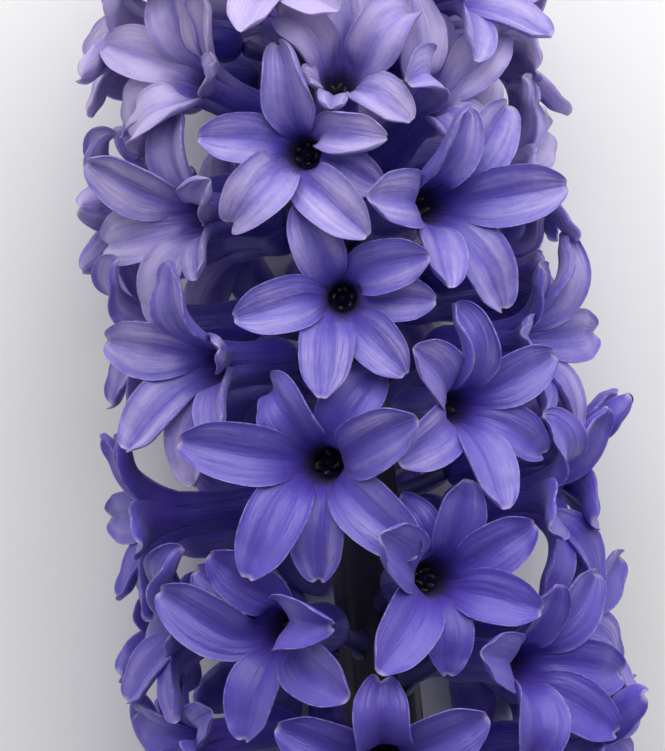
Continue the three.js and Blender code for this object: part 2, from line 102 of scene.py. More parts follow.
# The florets that are seen first: the throat's distance from the cut end, its place round the stalk,
# its lean towards the tip, its size, and its lobes as [aim, curl, length, sweep].
SEEN_FLORETS = [
    [185.5, -8, 5, 1.0,
     [[0, 112], [108, 108, 0.85], [124, 140, 0.75], [138, 110, 1.1], [215, 108, 1.05],
      [282, 105, 0.9]]],
    [165.5, 0, 0, 1.0,
     [[-17, 115, 0.9], [68, 95, 0.95], [99, 110, 0.8], [149, 115, 0.9], [191, 92, 1.0], [261, 108]]],
    [143.5, -11, 0, 1.1,
     [[-15, 115, 0.9], [40, 120, 0.9], [84, 92, 1.05], [142, 115, 1.1], [172, 128, 0.9],
      [210, 112, 1.1], [286, 108, 1.15]]],
    [122, -28, 5, 1.1,
     [[-40, 85, 0.85], [85, 70, 0.95], [120, 105, 1.05], [204, 115, 0.9], [276, 105, 1.05],
      [314, 105, 1.1]]],
    [127, 19, 5, 1.1,
     [[-15, 85, 0.8], [33, 90, 0.8], [63, 105, 0.85], [115, 105, 0.85], [180, 125, 0.75],
      [240, 110, 1.15], [295, 95, 1.1]]],
    [177, 33, 0, 1.1,
     [[24, 95, 0.9], [44, 105], [85, 108, 1.05], [135, 125], [190, 110, 0.8], [275, 100, 0.95]]],
    [196.5, -44, 25, 1.0,
     [[-15, 90], [22, 80, 0.9], [81, 80, 0.6], [227, 120, 0.9], [250, 125], [307, 110]]],
    [194.5, 6, 30, 1.0,
     [[-36, 100], [5, 100], [44, 100], [139, 125, 0.8], [225, 100, 0.8], [296, 110]]],
    [190.5, 37, 30, 1.0,
     [[-20, 95], [30, 105, 0.9], [75, 110], [120, 115], [175, 80, 0.8], [265, 105]]],
    [158, -46, 0, 1.05,
     [[-1, 100], [81, 70, 0.6], [148, 90, 0.8], [184, 110], [216, 120], [285, 108]]],
    [178.5, -50, 0, 1.05,
     [[-8, 118], [60, 95, 0.7], [150, 95, 0.6], [209, 110], [265, 108], [312, 112]]],
    [157.5, 72, 0, 1.0,
     [[20, 110, 1.1], [88, 105, 1.05], [184, 120, 1.1], [217, 95, 0.8], [270, 110, 0.7],
      [325, 100, 0.8]]],
    [140.5, 92, 0, 1.0, [[-25, 80], [30, 75], [100, 110], [180, 110], [230, 110], [300, 120]]],
    [114, 44, -5, 1.05,
     [[19, 80, 0.8], [51, 100], [82, 115], [123, 110], [196, 110], [287, 100]]],
    [135.5, 66, 0, 1.0, [[-12, 90], [40, 100], [107, 110], [150, 110], [186, 140], [250, 100]]],
    [103, -1, -10, 1.05, [[4, 100], [66, 105], [120, 110], [180, 110], [240, 110], [290, 110]]],
    [119, 78, 0, 1.0],
    [182, 84, 5, 0.95],
    [168, 92, 0, 0.95],
    [138, -86, 0, 1.0],
    [164, -86, 0, 1.0],
    [123.5, -70, 0, 1.0],
    [106.5, -66, -5, 1.0],
]

# The ways in which a lobe gives way to its neighbours, from the least bend to the most: shorter,
# turned aside, or curled more or less, each with what it counts against the others.
SHORTER_COST = 2
TURN_COST = 0.1
CURL_COST = 0.085
BENDS = sorted(
    ([turn, curl, length, SHORTER_COST * shorter + TURN_COST * abs(turn) + CURL_COST * abs(curl)]
     for shorter, length in enumerate([1, 0.85, 0.7, 0.55])
     for turn in [0, -5, 5, -10, 10, -15, 15, -20, 20, -30, 30]
     for curl in [0, 6, -6, 12, -12, 18, -18, 24, -24, 36, -36, 48, -48]),
    key=lambda bend: bend[3])
SHORT_SHAPES = [[bend, length] for length in [0.7, 0.55, 0.45] for bend in [100, 130, 70, 40, 155]]
SHORTEST = [60, 0.35]

# ---- Sizes of the fine shapes --------------------------------------------------------------------
# In millimetres and radians for a floret of size 1. What starts, rises or ends along a lobe does so
# at a share of its length.

STALK_AXIS = np.array([0.0, 1.0, 0.0])
ALONG_ONLY = np.array([1.0, 0.0, 0.0])  # gives a "place" that keeps no more than its first number
WELD_DISTANCE = 1e-4                   # points this near to each other become one
NEAR_PLANE = 0.05                      # points this near to the surface or the cut's plane lie in it
FIT_TOLERANCE = 0.03                   # a lobe's shape is found when all its points lie this near
SEEDS_APART = 1000                     # keeps the florets' own draws apart

# A lobe's mesh: rows across it from the rim to the tip, and columns from margin to margin.
LOBE_ROWS = 24
ROW_CROWDING = 1.35                    # rows stand closer together towards the tip
INNER_COLUMNS = 17
OUTER_COLUMNS = 11

# Its outline and thickness.
FINE_WIDEST = 0.5
BLUNTNESS = 2.15                       # power of the outline's fall to the tip
SWELLING = 1.5                         # power of its rise from the root
TIP_THICKNESS = 0.8                    # of the thickness at the rim
TIP_THINNING = 0.84                    # where the tip starts to run out to nothing
MARGIN_ROUNDNESS = 0.5                 # power by which the thickness runs out to the margin

# Its section: a channel that closes to a hood, a groove between two pads, and a keel at the back.
CHANNEL_ANGLE = 0.72                   # slope of the margins
CHANNEL_RISE = (-0.1, 0.3)
CHANNEL_STRETCH = 1.03                 # how much wider the sloping lobe is than its outline
HOOD_START = 0.78
HOOK_START = 0.8                       # where the tip starts to rise
FADE_START = 0.74                      # where groove, pads and keel start to fade out
GROOVE_WIDTH = 0.12                    # as a share of the half-width, like the keel's
GROOVE_RISE = (0.02, 0.2)
GROOVE_FADE = 0.5                      # share of the groove that is gone at the tip
PADS_RISE = (0.0, 0.3)
PADS_FADE = 0.6
PADS_EDGE = 8                          # power by which groove and pads run out to the margin
KEEL_WIDTH = 0.16

# How it may depart from its solid.
ARCH_LIFT = 1.4                        # how far an arched lobe stands up before its tip rolls back
LEAST_ARCH = 0.1                       # of the largest arch
FOLD_RARITY = 1.5                      # power that makes deep folds rare
WAVES_RISE = (0.1, 0.4)
ROLL_END = 0.86
ROLL_REACH = 0.5                       # a margin rolls back beyond this share of the half-width
MARGINS_CALM = 0.98                    # where waves and rolled margins have faded out
FREE_SHARE = 0.12                      # where a lobe is free of the rim and has to clear others
CALMNESS = [1, 0.7, 0.4, 0.2, 0]       # how much of its own bends a lobe keeps, the most that clears

# Stamens.
STAMEN_DEPTH_SPREAD = 0.7
STAMEN_RING_SPREAD = (0.75, 1.15)
STAMEN_LEAN = 0.1                      # outwards, for each millimetre along the floret's axis
STAMEN_TILT = 0.3                      # sideways at most
ANTHER_FLATNESS = 0.35
ANTHER_FURROW = 0.3                    # depth of the furrow as a share of the anther's girth
FURROW_WIDTH = 0.35

# The pistil's parts: height above the throat's bottom, half-length, radius, and the mesh's rows and
# sides.
OVARY = (0.5, 1.3, 0.8, 10, 12)
STIGMA = (1.7, 0.5, 0.3, 8, 10)

# The stalk, its pedicels and the bracts under them.
CUT_RIM = 0.25                         # height of the cut face's rim
RIM_BEND = 0.4                         # height at which the skin has turned out of it
FIRST_RING = 1.5
TOP_ROUNDING = 1.1                     # length of the stalk's rounded top
TOP_RING = 0.8                         # height of a ring on it
RIPPLES = [[3, 1, 0.021], [7, 2, -0.013], [11, 3, 0.008]]  # ridges, how much lower, turn per mm
PEDICEL_ROOT = 0.5                     # share of the stalk's radius at which a pedicel starts
PEDICEL_SINK = 0.5                     # how far it reaches into the floret
PEDICEL_RINGS = 9
PEDICEL_SIDES = 12
FOOT_FLARE = 0.35
HEAD_FLARE = 0.2
BRACT_DROP = 1.6                       # from the pedicel's foot towards the cut end
BRACT_STAND = 0.5                      # off the stalk's skin
BRACT_SLANT = 0.9                      # along the stalk, for each millimetre away from it
BRACT_HALF_WIDTH = 0.8
BRACT_HALF_THICKNESS = 0.3

# Material numbers on a bloom and on the stalk.
PETAL, ANTHER, PISTIL = 0, 1, 2
STALK_SKIN, CUT_FACE = 0, 1

# The tube's two faces, as [depth behind the throat, radius at a lobe's middle, radius at a seam].
TUBE_OUTSIDE = [
    [0, THROAT_RADIUS + LOBE_THICKNESS, RIM_RADIUS], [1.2, 3.36, 2.84], [2.6, 3.16, 2.84],
    [4, 2.99, 2.82], [5.5, 2.9, 2.82], [7, 2.95, 2.9], [8.5, 3.12, 3.07], [10, 3.22, 3.17],
    [11.4, 2.95, 2.91], [12.4, 2.3, 2.3], [TUBE_LENGTH, 1.6, 1.6], [13.2, 0, 0],
]
TUBE_INSIDE = [
    [0, THROAT_RADIUS, RIM_RADIUS], [0.9, 2.34, 2.46], [2, 2.18, 2.22], [3.5, 2.02, 2.02],
    [CUP_DEPTH, 1.8, 1.8], [5.6, 1.1, 1.1], [5.7, 0, 0],
]


# ---- Small helpers -------------------------------------------------------------------------------

def seeded_random(seed):
    """The generator that the solids' draws come from, one number between 0 and 1 at a time."""
    mask = 0xFFFFFFFF
    state = seed
    while True:
        state = (state + 0x6D2B79F5) & mask
        mixed = ((state ^ (state >> 15)) * (state | 1)) & mask
        mixed ^= (mixed + (mixed ^ (mixed >> 7)) * (mixed | 61)) & mask
        yield ((mixed ^ (mixed >> 14)) & mask) / 2**32


def unit(vector):
    return vector / np.linalg.norm(vector)


def mix(start, end, share):
    return start + (end - start) * share


def ease(value, low, high):
    """0 below low, 1 above high, and a smooth rise between them."""
    share = np.clip((value - low) / (high - low), 0, 1)
    return share * share * (3 - 2 * share)


def node_points(name):
    """The vertices of one of the frame's nodes, in millimetres."""
    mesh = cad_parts[name].data
    points = np.empty(3 * len(mesh.vertices), np.float32)
    mesh.vertices.foreach_get("co", points)
    return points.reshape(-1, 3).astype(float) / MM


def plant_origin():
    """The frame's place of the plant's own origin, found at the middle of the stalk's cut end."""
    points = node_points("stem")
    end = points[:, 1].min()
    cut = points[points[:, 1] < end + NEAR_PLANE]
    return np.array([(cut[:, 0].min() + cut[:, 0].max()) / 2, end, 0.0])


ORIGIN = plant_origin()


def in_frame(place):
    """A place in plant millimetres as a point of the frame, in metres."""
    return Vector((np.array(place, float) + ORIGIN) * MM)


# ---- Where the florets stand ---------------------------------------------------------------------

class Floret:
    """A floret's place and own directions: its axis points out of its throat, and up leans to the
    spike's tip."""

    def __init__(self, height, around, lean, size, distance):
        turn, tilt = math.radians(around), math.radians(lean)
        self.height, self.size = height, size
        self.radial = np.array([math.sin(turn), 0.0, math.cos(turn)])
        self.axis = self.radial * math.cos(tilt) + STALK_AXIS * math.sin(tilt)
        self.throat = np.array([0.0, height, AXIS_HEIGHT]) + self.radial * distance
        self.up = unit(STALK_AXIS - self.axis * self.axis[1])
        self.right = np.cross(self.up, self.axis)
        self.base = self.throat - self.axis * TUBE_LENGTH * size

    def clear_of(self, other):
        smaller = min(self.size, other.size)
        throats = np.linalg.norm(self.throat - other.throat)
        bases = np.linalg.norm(self.base - other.base)
        return throats >= THROAT_SPACING * smaller and bases >= BASE_SPACING * smaller

    def toward(self, azimuth):
        """The direction square to the floret's axis at an azimuth in degrees; arrays give rows."""
        angle = np.radians(azimuth)[..., None]
        return np.cos(angle) * self.up + np.sin(angle) * self.right


def throat_distance(height):
    return mix(THROAT_LOW, THROAT_HIGH, (height - SPIKE_START) / (CROWN_START - SPIKE_START))


def place_florets():
    """All florets: the seen ones, and those that fill the sites of a spiral round the stalk."""
    draws = seeded_random(SEED)

    def spread(reach):
        return (2 * next(draws) - 1) * reach

    def draw_lobes(uncurl):
        roll = 360 / LOBES * next(draws)
        return [[roll + 360 / LOBES * lobe + spread(AIM_SPREAD),
                 (INNER_CURL if lobe % 2 else OUTER_CURL) - uncurl + spread(CURL_SPREAD),
                 1 + spread(LENGTH_SPREAD), spread(SWEEP_SPREAD)] for lobe in range(LOBES)]

    florets = []
    for height, around, lean, size, *lobes in SEEN_FLORETS:
        floret = Floret(height, around, lean, size, throat_distance(height))
        floret.lobes = lobes[0] if lobes else draw_lobes(0)
        florets.append(floret)
    for site in range(math.ceil((CROWN_START + CROWN_HEIGHT - SPIKE_START) / SITE_RISE)):
        height = SPIKE_START + site * SITE_RISE
        crown = min(1, max(0, (height - CROWN_START) / CROWN_HEIGHT))
        slope = math.asin(crown)
        distance = THROAT_HIGH * math.cos(slope) if crown > 0 else throat_distance(height)
        lean = min(math.degrees(slope), CROWN_LEAN)
        floret = Floret(height, site * GOLDEN_ANGLE, lean, 1 - CROWN_SHRINK * crown, distance)
        if all(floret.clear_of(other) for other in florets):
            floret.lobes = draw_lobes(CROWN_UNCURL * crown)
            florets.append(floret)
    return florets


# ---- The shape of a lobe -------------------------------------------------------------------------

def lobe_half_width(share, widest=LOBE_WIDEST, bluntness=2.0, swelling=2.0):
    """The half-width of a lobe's outline: as in the solids, or with the fine lobe's proportions."""
    share = np.asarray(share, float)
    rise = np.sin(np.pi / 2 * np.minimum(share / widest, 1)) ** swelling
    fall = np.clip((share - widest) / (1 - widest), 0, 1)
    return mix(LOBE_ROOT_HALF_WIDTH, LOBE_HALF_WIDTH, rise) * np.sqrt(1 - fall**bluntness)


def root_azimuths(lobes):
    """The azimuths at which the lobes leave the rim: even steps, rolled to suit where they aim."""
    step = 360 / len(lobes)
    turns = [math.radians(lobe[0] - step * number) for number, lobe in enumerate(lobes)]
    roll = math.degrees(math.atan2(sum(map(math.sin, turns)), sum(map(math.cos, turns))))
    return [roll + step * number for number in range(len(lobes))]


def midribs(floret, root, shapes, arch=0.0, bow=0.0):
    """The midribs of several shapes of a lobe: points, directions across, and inner normals. With an
    arch, in radians, the lobe stands up a little more and its tip rolls back further; a bow, in
    degrees, turns the tip aside."""
    aim, curl, length, sweep = np.array(shapes, float).T[:, :, None]
    share = np.linspace(0, 1, PATH_STEPS + 1)
    arched = arch * share * ((1 + ARCH_LIFT) * share - ARCH_LIFT)
    bend = (np.radians(mix(ROOT_CURL, curl, share**CURL_EASE)) + arched)[..., None]
    azimuth = mix(root, aim, ease(share, 0, TURN_LENGTH)) + sweep * share + bow * share**2
    outward = floret.toward(azimuth)
    across = floret.toward(azimuth + 90)
    normal = floret.axis * np.sin(bend) - outward * np.cos(bend)
    advance = LOBE_LENGTH * floret.size / PATH_STEPS * length[..., None]
    steps = (outward * np.sin(bend) + floret.axis * np.cos(bend)) * advance
    start = floret.throat + floret.toward(root) * THROAT_RADIUS * floret.size
    points = start + np.concatenate([np.zeros_like(steps[:, :1]), np.cumsum(steps[:, :-1], 1)], 1)
    return points, across, normal


def solid_points(floret, root, shapes):
    """The corners that each of these shapes gives the lobe's solid: an array of shapes by points."""
    points, across, normal = midribs(floret, root, shapes)
    thickness = LOBE_THICKNESS * floret.size
    breadth = floret.size * np.minimum(1, np.array(shapes)[:, 2])[:, None] ** SHORT_NARROWING
    corners = []
    for station in LOBE_STATIONS:
        here, side, out = points[:, station], across[:, station], normal[:, station]
        width = lobe_half_width(station / PATH_STEPS) * breadth
        margin, rise = side * width, out * LOBE_CHANNEL * width
        corners += [here - margin + rise, here + margin + rise, here, here - out * thickness]
    corners.append(points[:, -1] - normal[:, -1] * thickness / 4)
    return np.stack(corners, 1)


def shapes_to_try(root, lobe):
    aim, curl = lobe[:2]
    length = lobe[2] if len(lobe) > 2 else 1
    sweep = lobe[3] if len(lobe) > 3 else 0
    bent = [[aim + turn, curl + more, length * shorter, sweep] for turn, more, shorter, _ in BENDS]
    return bent + [[root, *shape, 0] for shape in [*SHORT_SHAPES, SHORTEST]]


def fit_lobe(floret, root, lobe, solid):
    """The shape that a lobe has in its solid: the first one whose corners are all found there. Those
    that the surface has pressed flat are not."""
    shapes = shapes_to_try(root, lobe)
    corners = solid_points(floret, root, shapes)
    fitting = np.arange(len(shapes))
    for number in reversed(range(corners.shape[1])):
        here = corners[fitting, number]
        gaps = np.linalg.norm(here[:, None] - solid, axis=2).min(1)
        pressed = (here[:, 2] < NEAR_PLANE) & (here[:, 2] > -FLOOR_DIP)
        fitting = fitting[(gaps < FIT_TOLERANCE) | pressed]
    if not len(fitting):
        raise RuntimeError(f"no shape fits a lobe of the floret at {floret.height:.1f} mm")
    return shapes[fitting[0]]


def curve_through(rows, places):
    """Values at fractional places along rows, on a smooth curve through them."""
    low = np.clip(np.floor(places).astype(int), 0, len(rows) - 2)
    share = (places - low)[:, None]
    before, here = rows[np.maximum(low - 1, 0)], rows[low]
    there, after = rows[low + 1], rows[np.minimum(low + 2, len(rows) - 1)]
    bend = 2 * before - 5 * here + 4 * there - after
    twist = 3 * here - before - 3 * there + after
    return (2 * here + (there - before) * share + bend * share**2 + twist * share**3) / 2


# ---- Meshes --------------------------------------------------------------------------------------

def grid_faces(rows, columns, across, first):
    """The four-sided faces of rows of points that are numbered on from first."""
    row, column = np.mgrid[0:rows - 1, 0:across]
    here = first + row * columns + column
    beside = first + row * columns + (column + 1) % columns
    return np.stack([here, beside, beside + columns, here + columns], -1).reshape(-1, 4)


class Skin:
    """A growing mesh: its points in plant millimetres, its faces, and what its finish goes by."""

    def __init__(self):
        self.points, self.faces, self.materials = [], [], []
        self.place, self.mood = [], []
        self.count = 0

    def grid(self, points, place, mood, material, closed=False):
        """Adds rows of points as a sheet; a closed one joins each row's last point to its first."""
        rows, columns = points.shape[:2]
        first = self.count
        self.points.append(points.reshape(-1, 3))
        self.place.append(np.broadcast_to(place, points.shape).reshape(-1, 3))
        self.mood.append(np.broadcast_to(mood, points.shape).reshape(-1, 3))
        self.count += rows * columns
        across = columns if closed else columns - 1
        quads = grid_faces(rows, columns, across, first)
        self.faces += quads.tolist()
        self.materials += [material] * len(quads)

    def build(self, name, materials):
        """The mesh as an object of the scene; its points that coincide become one."""
        mesh = bpy.data.meshes.new(name)
        points = (np.concatenate(self.points) + ORIGIN) * MM
        mesh.from_pydata(points.tolist(), [], self.faces)
        for attribute, values in (("place", self.place), ("mood", self.mood)):
            layer = mesh.attributes.new(attribute, "FLOAT_VECTOR", "POINT")
            layer.data.foreach_set("vector", np.concatenate(values).astype(np.float32).ravel())
        mesh.polygons.foreach_set("material_index", self.materials)
        work = bmesh.new()
        work.from_mesh(mesh)
        bmesh.ops.remove_doubles(work, verts=work.verts, dist=WELD_DISTANCE * MM)
        bmesh.ops.dissolve_degenerate(work, edges=work.edges, dist=WELD_DISTANCE * MM)
        bmesh.ops.recalc_face_normals(work, faces=work.faces)
        work.to_mesh(mesh)
        work.free()
        mesh.polygons.foreach_set("use_smooth", [True] * len(mesh.polygons))
        for material in materials:
            mesh.materials.append(material)
        piece = bpy.data.objects.new(name, mesh)
        bpy.context.scene.collection.objects.link(piece)
        return piece


def blob(skin, center, long, wide, thick, material, mood, rows=8, sides=10, pinch=0.0):
    """A small rounded body about a point, with its half-axes, pinched along its middle where it has
    a furrow."""
    tilt = np.linspace(0, np.pi, rows + 1)[:, None]
    turn = np.linspace(0, 2 * np.pi, sides, endpoint=False)[None]
    girth = np.sin(tilt) * (1 - pinch * np.exp(-(np.cos(turn) / FURROW_WIDTH) ** 2))
    points = (center + np.cos(tilt)[..., None] * np.ones_like(turn)[..., None] * long
              + (girth * np.cos(turn))[..., None] * wide + (girth * np.sin(turn))[..., None] * thick)
    place = np.stack(np.broadcast_arrays(np.cos(tilt), np.cos(turn), np.sin(turn)), -1)
    skin.grid(points, place, mood, material, closed=True)


# ---- One floret ----------------------------------------------------------------------------------

def tube_sheet(floret, root, step, profile, columns):
    """A lobe's share of the tube's inner or outer wall, from its bottom up to just below the rim."""
    depth, middle, seam = np.array(profile[:0:-1], float).T[..., None]
    column = np.sin(np.linspace(-np.pi / 2, np.pi / 2, columns))
    radius = mix(middle, seam, column**2) * floret.size
    ways = floret.toward(root + column * step / 2)[None]
    depths = (floret.axis * floret.size) * depth[..., None]
    points = floret.throat + ways * radius[..., None] - depths
    along = -depth / LOBE_LENGTH * np.ones_like(column)
    return points, along, np.ones_like(depth) * column


class Bends:
    """A lobe's own twist, waves, rolled margins, fullness, fold, arch and bow, drawn once."""

    def __init__(self, look, chance):
        self.look = look
        self.twist = math.radians(look.twist) * chance.uniform(-1, 1)
        self.lopsided = look.lopsided * np.array([chance.uniform(-1, 1), chance.uniform(-1, 1)])
        self.phases = np.pi * np.array([chance.uniform(-1, 1), chance.uniform(-1, 1)])
        self.rolled = look.roll * np.array([max(0, chance.uniform(-1, 1)),
                                            max(0, chance.uniform(-1, 1))])
        self.fullness = look.fullness * chance.uniform(0, 1)
        self.fold = look.fold * chance.uniform(0, 1) ** FOLD_RARITY
        self.arch = math.radians(look.arch) * chance.uniform(LEAST_ARCH, 1)
        self.bow = look.bow * chance.uniform(-1, 1)

    def slopes(self, share, column, calm):
        """How steeply each point's face rises to the margin, in radians, for rows of points across
        the lobe. The margins rise in a channel, wave, roll back here and there, and close to a hood;
        calm is the share of the lobe's own bends that is kept."""
        reach = np.abs(column)
        sides = np.where(column < 0, 0, 1)
        cupping = 1 + calm * self.lopsided[sides]
        waves = np.sin(2 * np.pi * self.look.waves * share + self.phases[sides])
        waves *= ease(share, *WAVES_RISE)
        rolled = self.rolled[sides] * np.sin(np.pi * np.clip(share / ROLL_END, 0, 1))
        rolled *= ease(reach, ROLL_REACH, 1)
        channel = (CHANNEL_ANGLE * cupping + calm * self.fold) * ease(share, *CHANNEL_RISE) * reach
        hood = self.look.hood * ease(share, HOOD_START, 1) * reach
        free = self.look.wave * waves * reach**2 - rolled
        free *= 1 - ease(share, HOOD_START, MARGINS_CALM)
        return (channel + hood + calm * free) * np.sign(column)


def across_from_middle(values, column):
    """The running integral of values along each row, from the middle column outwards."""
    steps = (values[:, 1:] + values[:, :-1]) / 2 * np.diff(column)
    sums = np.concatenate([np.zeros((len(values), 1)), np.cumsum(steps, 1)], 1)
    return sums - sums[:, [len(column) // 2]]


def lobe_sheets(floret, root, shape, step, bends, calm):
    """The inner and the outer face of a lobe as rows of points from the rim to the tip. The two
    faces share their points along both margins."""
    look = bends.look
    paths = midribs(floret, root, [shape], calm * bends.arch, calm * bends.bow)
    points, across, normal = (part[0] for part in paths)
    share = 1 - (1 - np.linspace(0, 1, LOBE_ROWS + 1)) ** ROW_CROWDING
    middle, side, out = (curve_through(part, share * PATH_STEPS)[:, None]
                         for part in (points, across, normal))
    twist = calm * bends.twist * share[:, None, None]
    side, out = (side * np.cos(twist) + out * np.sin(twist),
                 out * np.cos(twist) - side * np.sin(twist))
    breadth = floret.size * min(1, shape[2]) ** SHORT_NARROWING * CHANNEL_STRETCH
    outline = lobe_half_width(share, FINE_WIDEST, BLUNTNESS, SWELLING)
    width = (outline * breadth * (1 + calm * bends.fullness))[:, None]
    share = share[:, None]
    thickness = (LOBE_THICKNESS * floret.size * mix(1, TIP_THICKNESS, share)
                 * np.sqrt(1 - ease(share, TIP_THINNING, 1)))
    fade = ease(share, FADE_START, 1)
    hook = look.hook * floret.size * ease(share, HOOK_START, 1)
    sheets = []
    for columns, outer in ((INNER_COLUMNS, 0), (OUTER_COLUMNS, 1)):
        column = np.sin(np.linspace(-np.pi / 2, np.pi / 2, columns))
        reach = np.abs(column)
        slope = bends.slopes(share, column, calm)
        sideways = across_from_middle(np.cos(slope), column) * width
        upwards = across_from_middle(np.sin(slope), column) * width + hook
        if outer:
            keel = look.keel * np.exp(-(column / KEEL_WIDTH) ** 2) * (1 - fade)
            proud = -thickness * (1 - column**2) ** MARGIN_ROUNDNESS * (1 + keel)
        else:
            pads = look.pads * width * np.sin(np.pi * reach) ** 2 * ease(share, *PADS_RISE)
            groove = look.groove * np.exp(-(column / GROOVE_WIDTH) ** 2) * ease(share, *GROOVE_RISE)
            proud = pads * (1 - PADS_FADE * fade) - groove * (1 - GROOVE_FADE * fade)
            proud *= 1 - reach**PADS_EDGE
        sideways, upwards = sideways - proud * np.sin(slope), upwards + proud * np.cos(slope)
        sheet = middle + sideways[..., None] * side + upwards[..., None] * out
        radius = mix(THROAT_RADIUS + outer * LOBE_THICKNESS, RIM_RADIUS, column**2) * floret.size
        sheet[0] = floret.throat + floret.toward(root + column * step / 2) * radius[:, None]
        sheet[-1] = middle[-1] + out[-1] * hook[-1]
        sheets.append(sheet)
    inner, outer = sheets
    outer[:, [0, -1]] = inner[:, [0, -1]]
    lowest = np.minimum(inner[..., 2].min(1), outer[..., 2].min(1))
    for sheet in sheets:
        sheet[..., 2] += np.maximum(0, look.surface_gap - lowest)[:, None]
    return sheets, share


class Crowd:
    """The lobes that are in their places, which the next one must not cut into."""

    def __init__(self):
        self.lobes = []

    @staticmethod
    def outline(sheets, share):
        """A lobe's free part as a tree of faces, with its box."""
        first = int(np.searchsorted(share[:, 0], FREE_SHARE))
        free = [sheet[first:] for sheet in sheets]
        faces, start = [], 0
        for sheet in free:
            rows, columns = sheet.shape[:2]
            faces += grid_faces(rows, columns, columns - 1, start).tolist()
            start += rows * columns
        points = np.concatenate([sheet.reshape(-1, 3) for sheet in free])
        return BVHTree.FromPolygons(points.tolist(), faces), points.min(0), points.max(0)

    def touches(self, lobe):
        tree, low, high = lobe
        return any(np.all(low < other_high) and np.all(other_low < high) and tree.overlap(other)
                   for other, other_low, other_high in self.lobes)

    def settle(self, floret, root, shape, step, bends):
        """A lobe's faces, as lively as its neighbours leave room for."""
        for calm in CALMNESS:
            sheets, share = lobe_sheets(floret, root, shape, step, bends, calm)
            lobe = self.outline(sheets, share)
            if not self.touches(lobe):
                break
        self.lobes.append(lobe)
        return sheets, share


def build_floret(floret, number, crowd, look, materials):
    """One floret: the tube with its ovary, the lobes, and the stamens and pistil in the throat."""
    name = f"floret_{number:02d}"
    solid = node_points(name) - ORIGIN
    chance = random.Random(SEED * SEEDS_APART + number)
    skin = Skin()
    step = 360 / len(floret.lobes)
    size, axis = floret.size, floret.axis
    # The floret's height along the spike, by which the petal finish paints light: the upper florets
    # paler, the lower ones deeper.
    height = (floret.height - SPIKE_START) / (CROWN_START + CROWN_HEIGHT - SPIKE_START)
    shade = chance.uniform(-1, 1)
    for root, lobe in zip(root_azimuths(floret.lobes), floret.lobes):
        shape = fit_lobe(floret, root, lobe, solid)
        mood = np.array([shade, height, chance.uniform(-1, 1)])
        sheets, share = crowd.settle(floret, root, shape, step, Bends(look, chance))
        for outer, (sheet, profile) in enumerate(zip(sheets, (TUBE_INSIDE, TUBE_OUTSIDE))):
            columns = sheet.shape[1]
            wall, along, column = tube_sheet(floret, root, step, profile, columns)
            place = np.stack([np.concatenate([along, share * np.ones((1, columns))]),
                              np.concatenate([column, np.ones_like(share) * column[:1]]),
                              np.full((len(wall) + len(sheet), columns), float(outer))], -1)
            skin.grid(np.concatenate([wall, sheet]), place, mood, PETAL)
        out = floret.toward(root + chance.uniform(-1, 1) * look.stamen_scatter)
        depth = look.stamen_depth + chance.uniform(-STAMEN_DEPTH_SPREAD, STAMEN_DEPTH_SPREAD)
        ring = look.stamen_ring * chance.uniform(*STAMEN_RING_SPREAD)
        middle = floret.throat + (out * ring - axis * depth) * size
        tilt = floret.toward(root + 90) * chance.uniform(-STAMEN_TILT, STAMEN_TILT)
        lean = unit(axis + out * STAMEN_LEAN + tilt)
        blob(skin, middle, lean * look.anther_length / 2 * size,
             unit(np.cross(lean, out)) * look.anther_width / 2 * size,
             out * look.anther_width * ANTHER_FLATNESS * size, ANTHER, mood, pinch=ANTHER_FURROW)
    bottom = floret.throat - axis * CUP_DEPTH * size
    for rise, half_length, radius, rows, sides in (OVARY, STIGMA):
        blob(skin, bottom + axis * rise * size, axis * half_length * size,
             floret.up * radius * size, floret.right * radius * size, PISTIL, mood, rows, sides)
    piece = skin.build(f"bloom_{number:02d}", materials)
    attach(piece, "root")
    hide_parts(name)


# ---- The stalk -----------------------------------------------------------------------------------

def stalk_radius(height):
    return np.interp(height, *np.array(STALK_PROFILE, float).T)


def add_stalk_skin(skin, look):
    """The stalk's skin from its cut end to its rounded top, and the slightly hollow cut face."""
    top = STALK_PROFILE[-1][0]
    turn = np.linspace(0, 2 * np.pi, look.sides, endpoint=False)
    heights = np.concatenate([[CUT_RIM, RIM_BEND], np.arange(FIRST_RING, top, look.ring_spacing),
                              [top, top + TOP_RING, top + TOP_ROUNDING]])
    beyond = np.clip((heights - top) / TOP_ROUNDING, 0, 1)[:, None]
    ripple = sum(look.ripple / lower * np.cos(ridges * turn + heights[:, None] * pitch)
                 for ridges, lower, pitch in RIPPLES)
    radius = (stalk_radius(heights)[:, None] + ripple) * np.sqrt(1 - beyond**2)
    rings = np.stack([radius * np.sin(turn), heights[:, None] * np.ones_like(turn),
                      AXIS_HEIGHT + radius * np.cos(turn)], -1)
    skin.grid(rings, (heights / top)[:, None, None] * ALONG_ONLY, 0, STALK_SKIN, closed=True)
    share = np.linspace(0, 1, look.cut_rings)[:, None]
    hollow = (CUT_RIM + look.cut_dome * (share**2 - 1)) * np.ones_like(turn)
    cut = np.stack([radius[0] * share * np.sin(turn), hollow,
                    AXIS_HEIGHT + radius[0] * share * np.cos(turn)], -1)
    skin.grid(cut, share[..., None] * ALONG_ONLY, 0, CUT_FACE, closed=True)


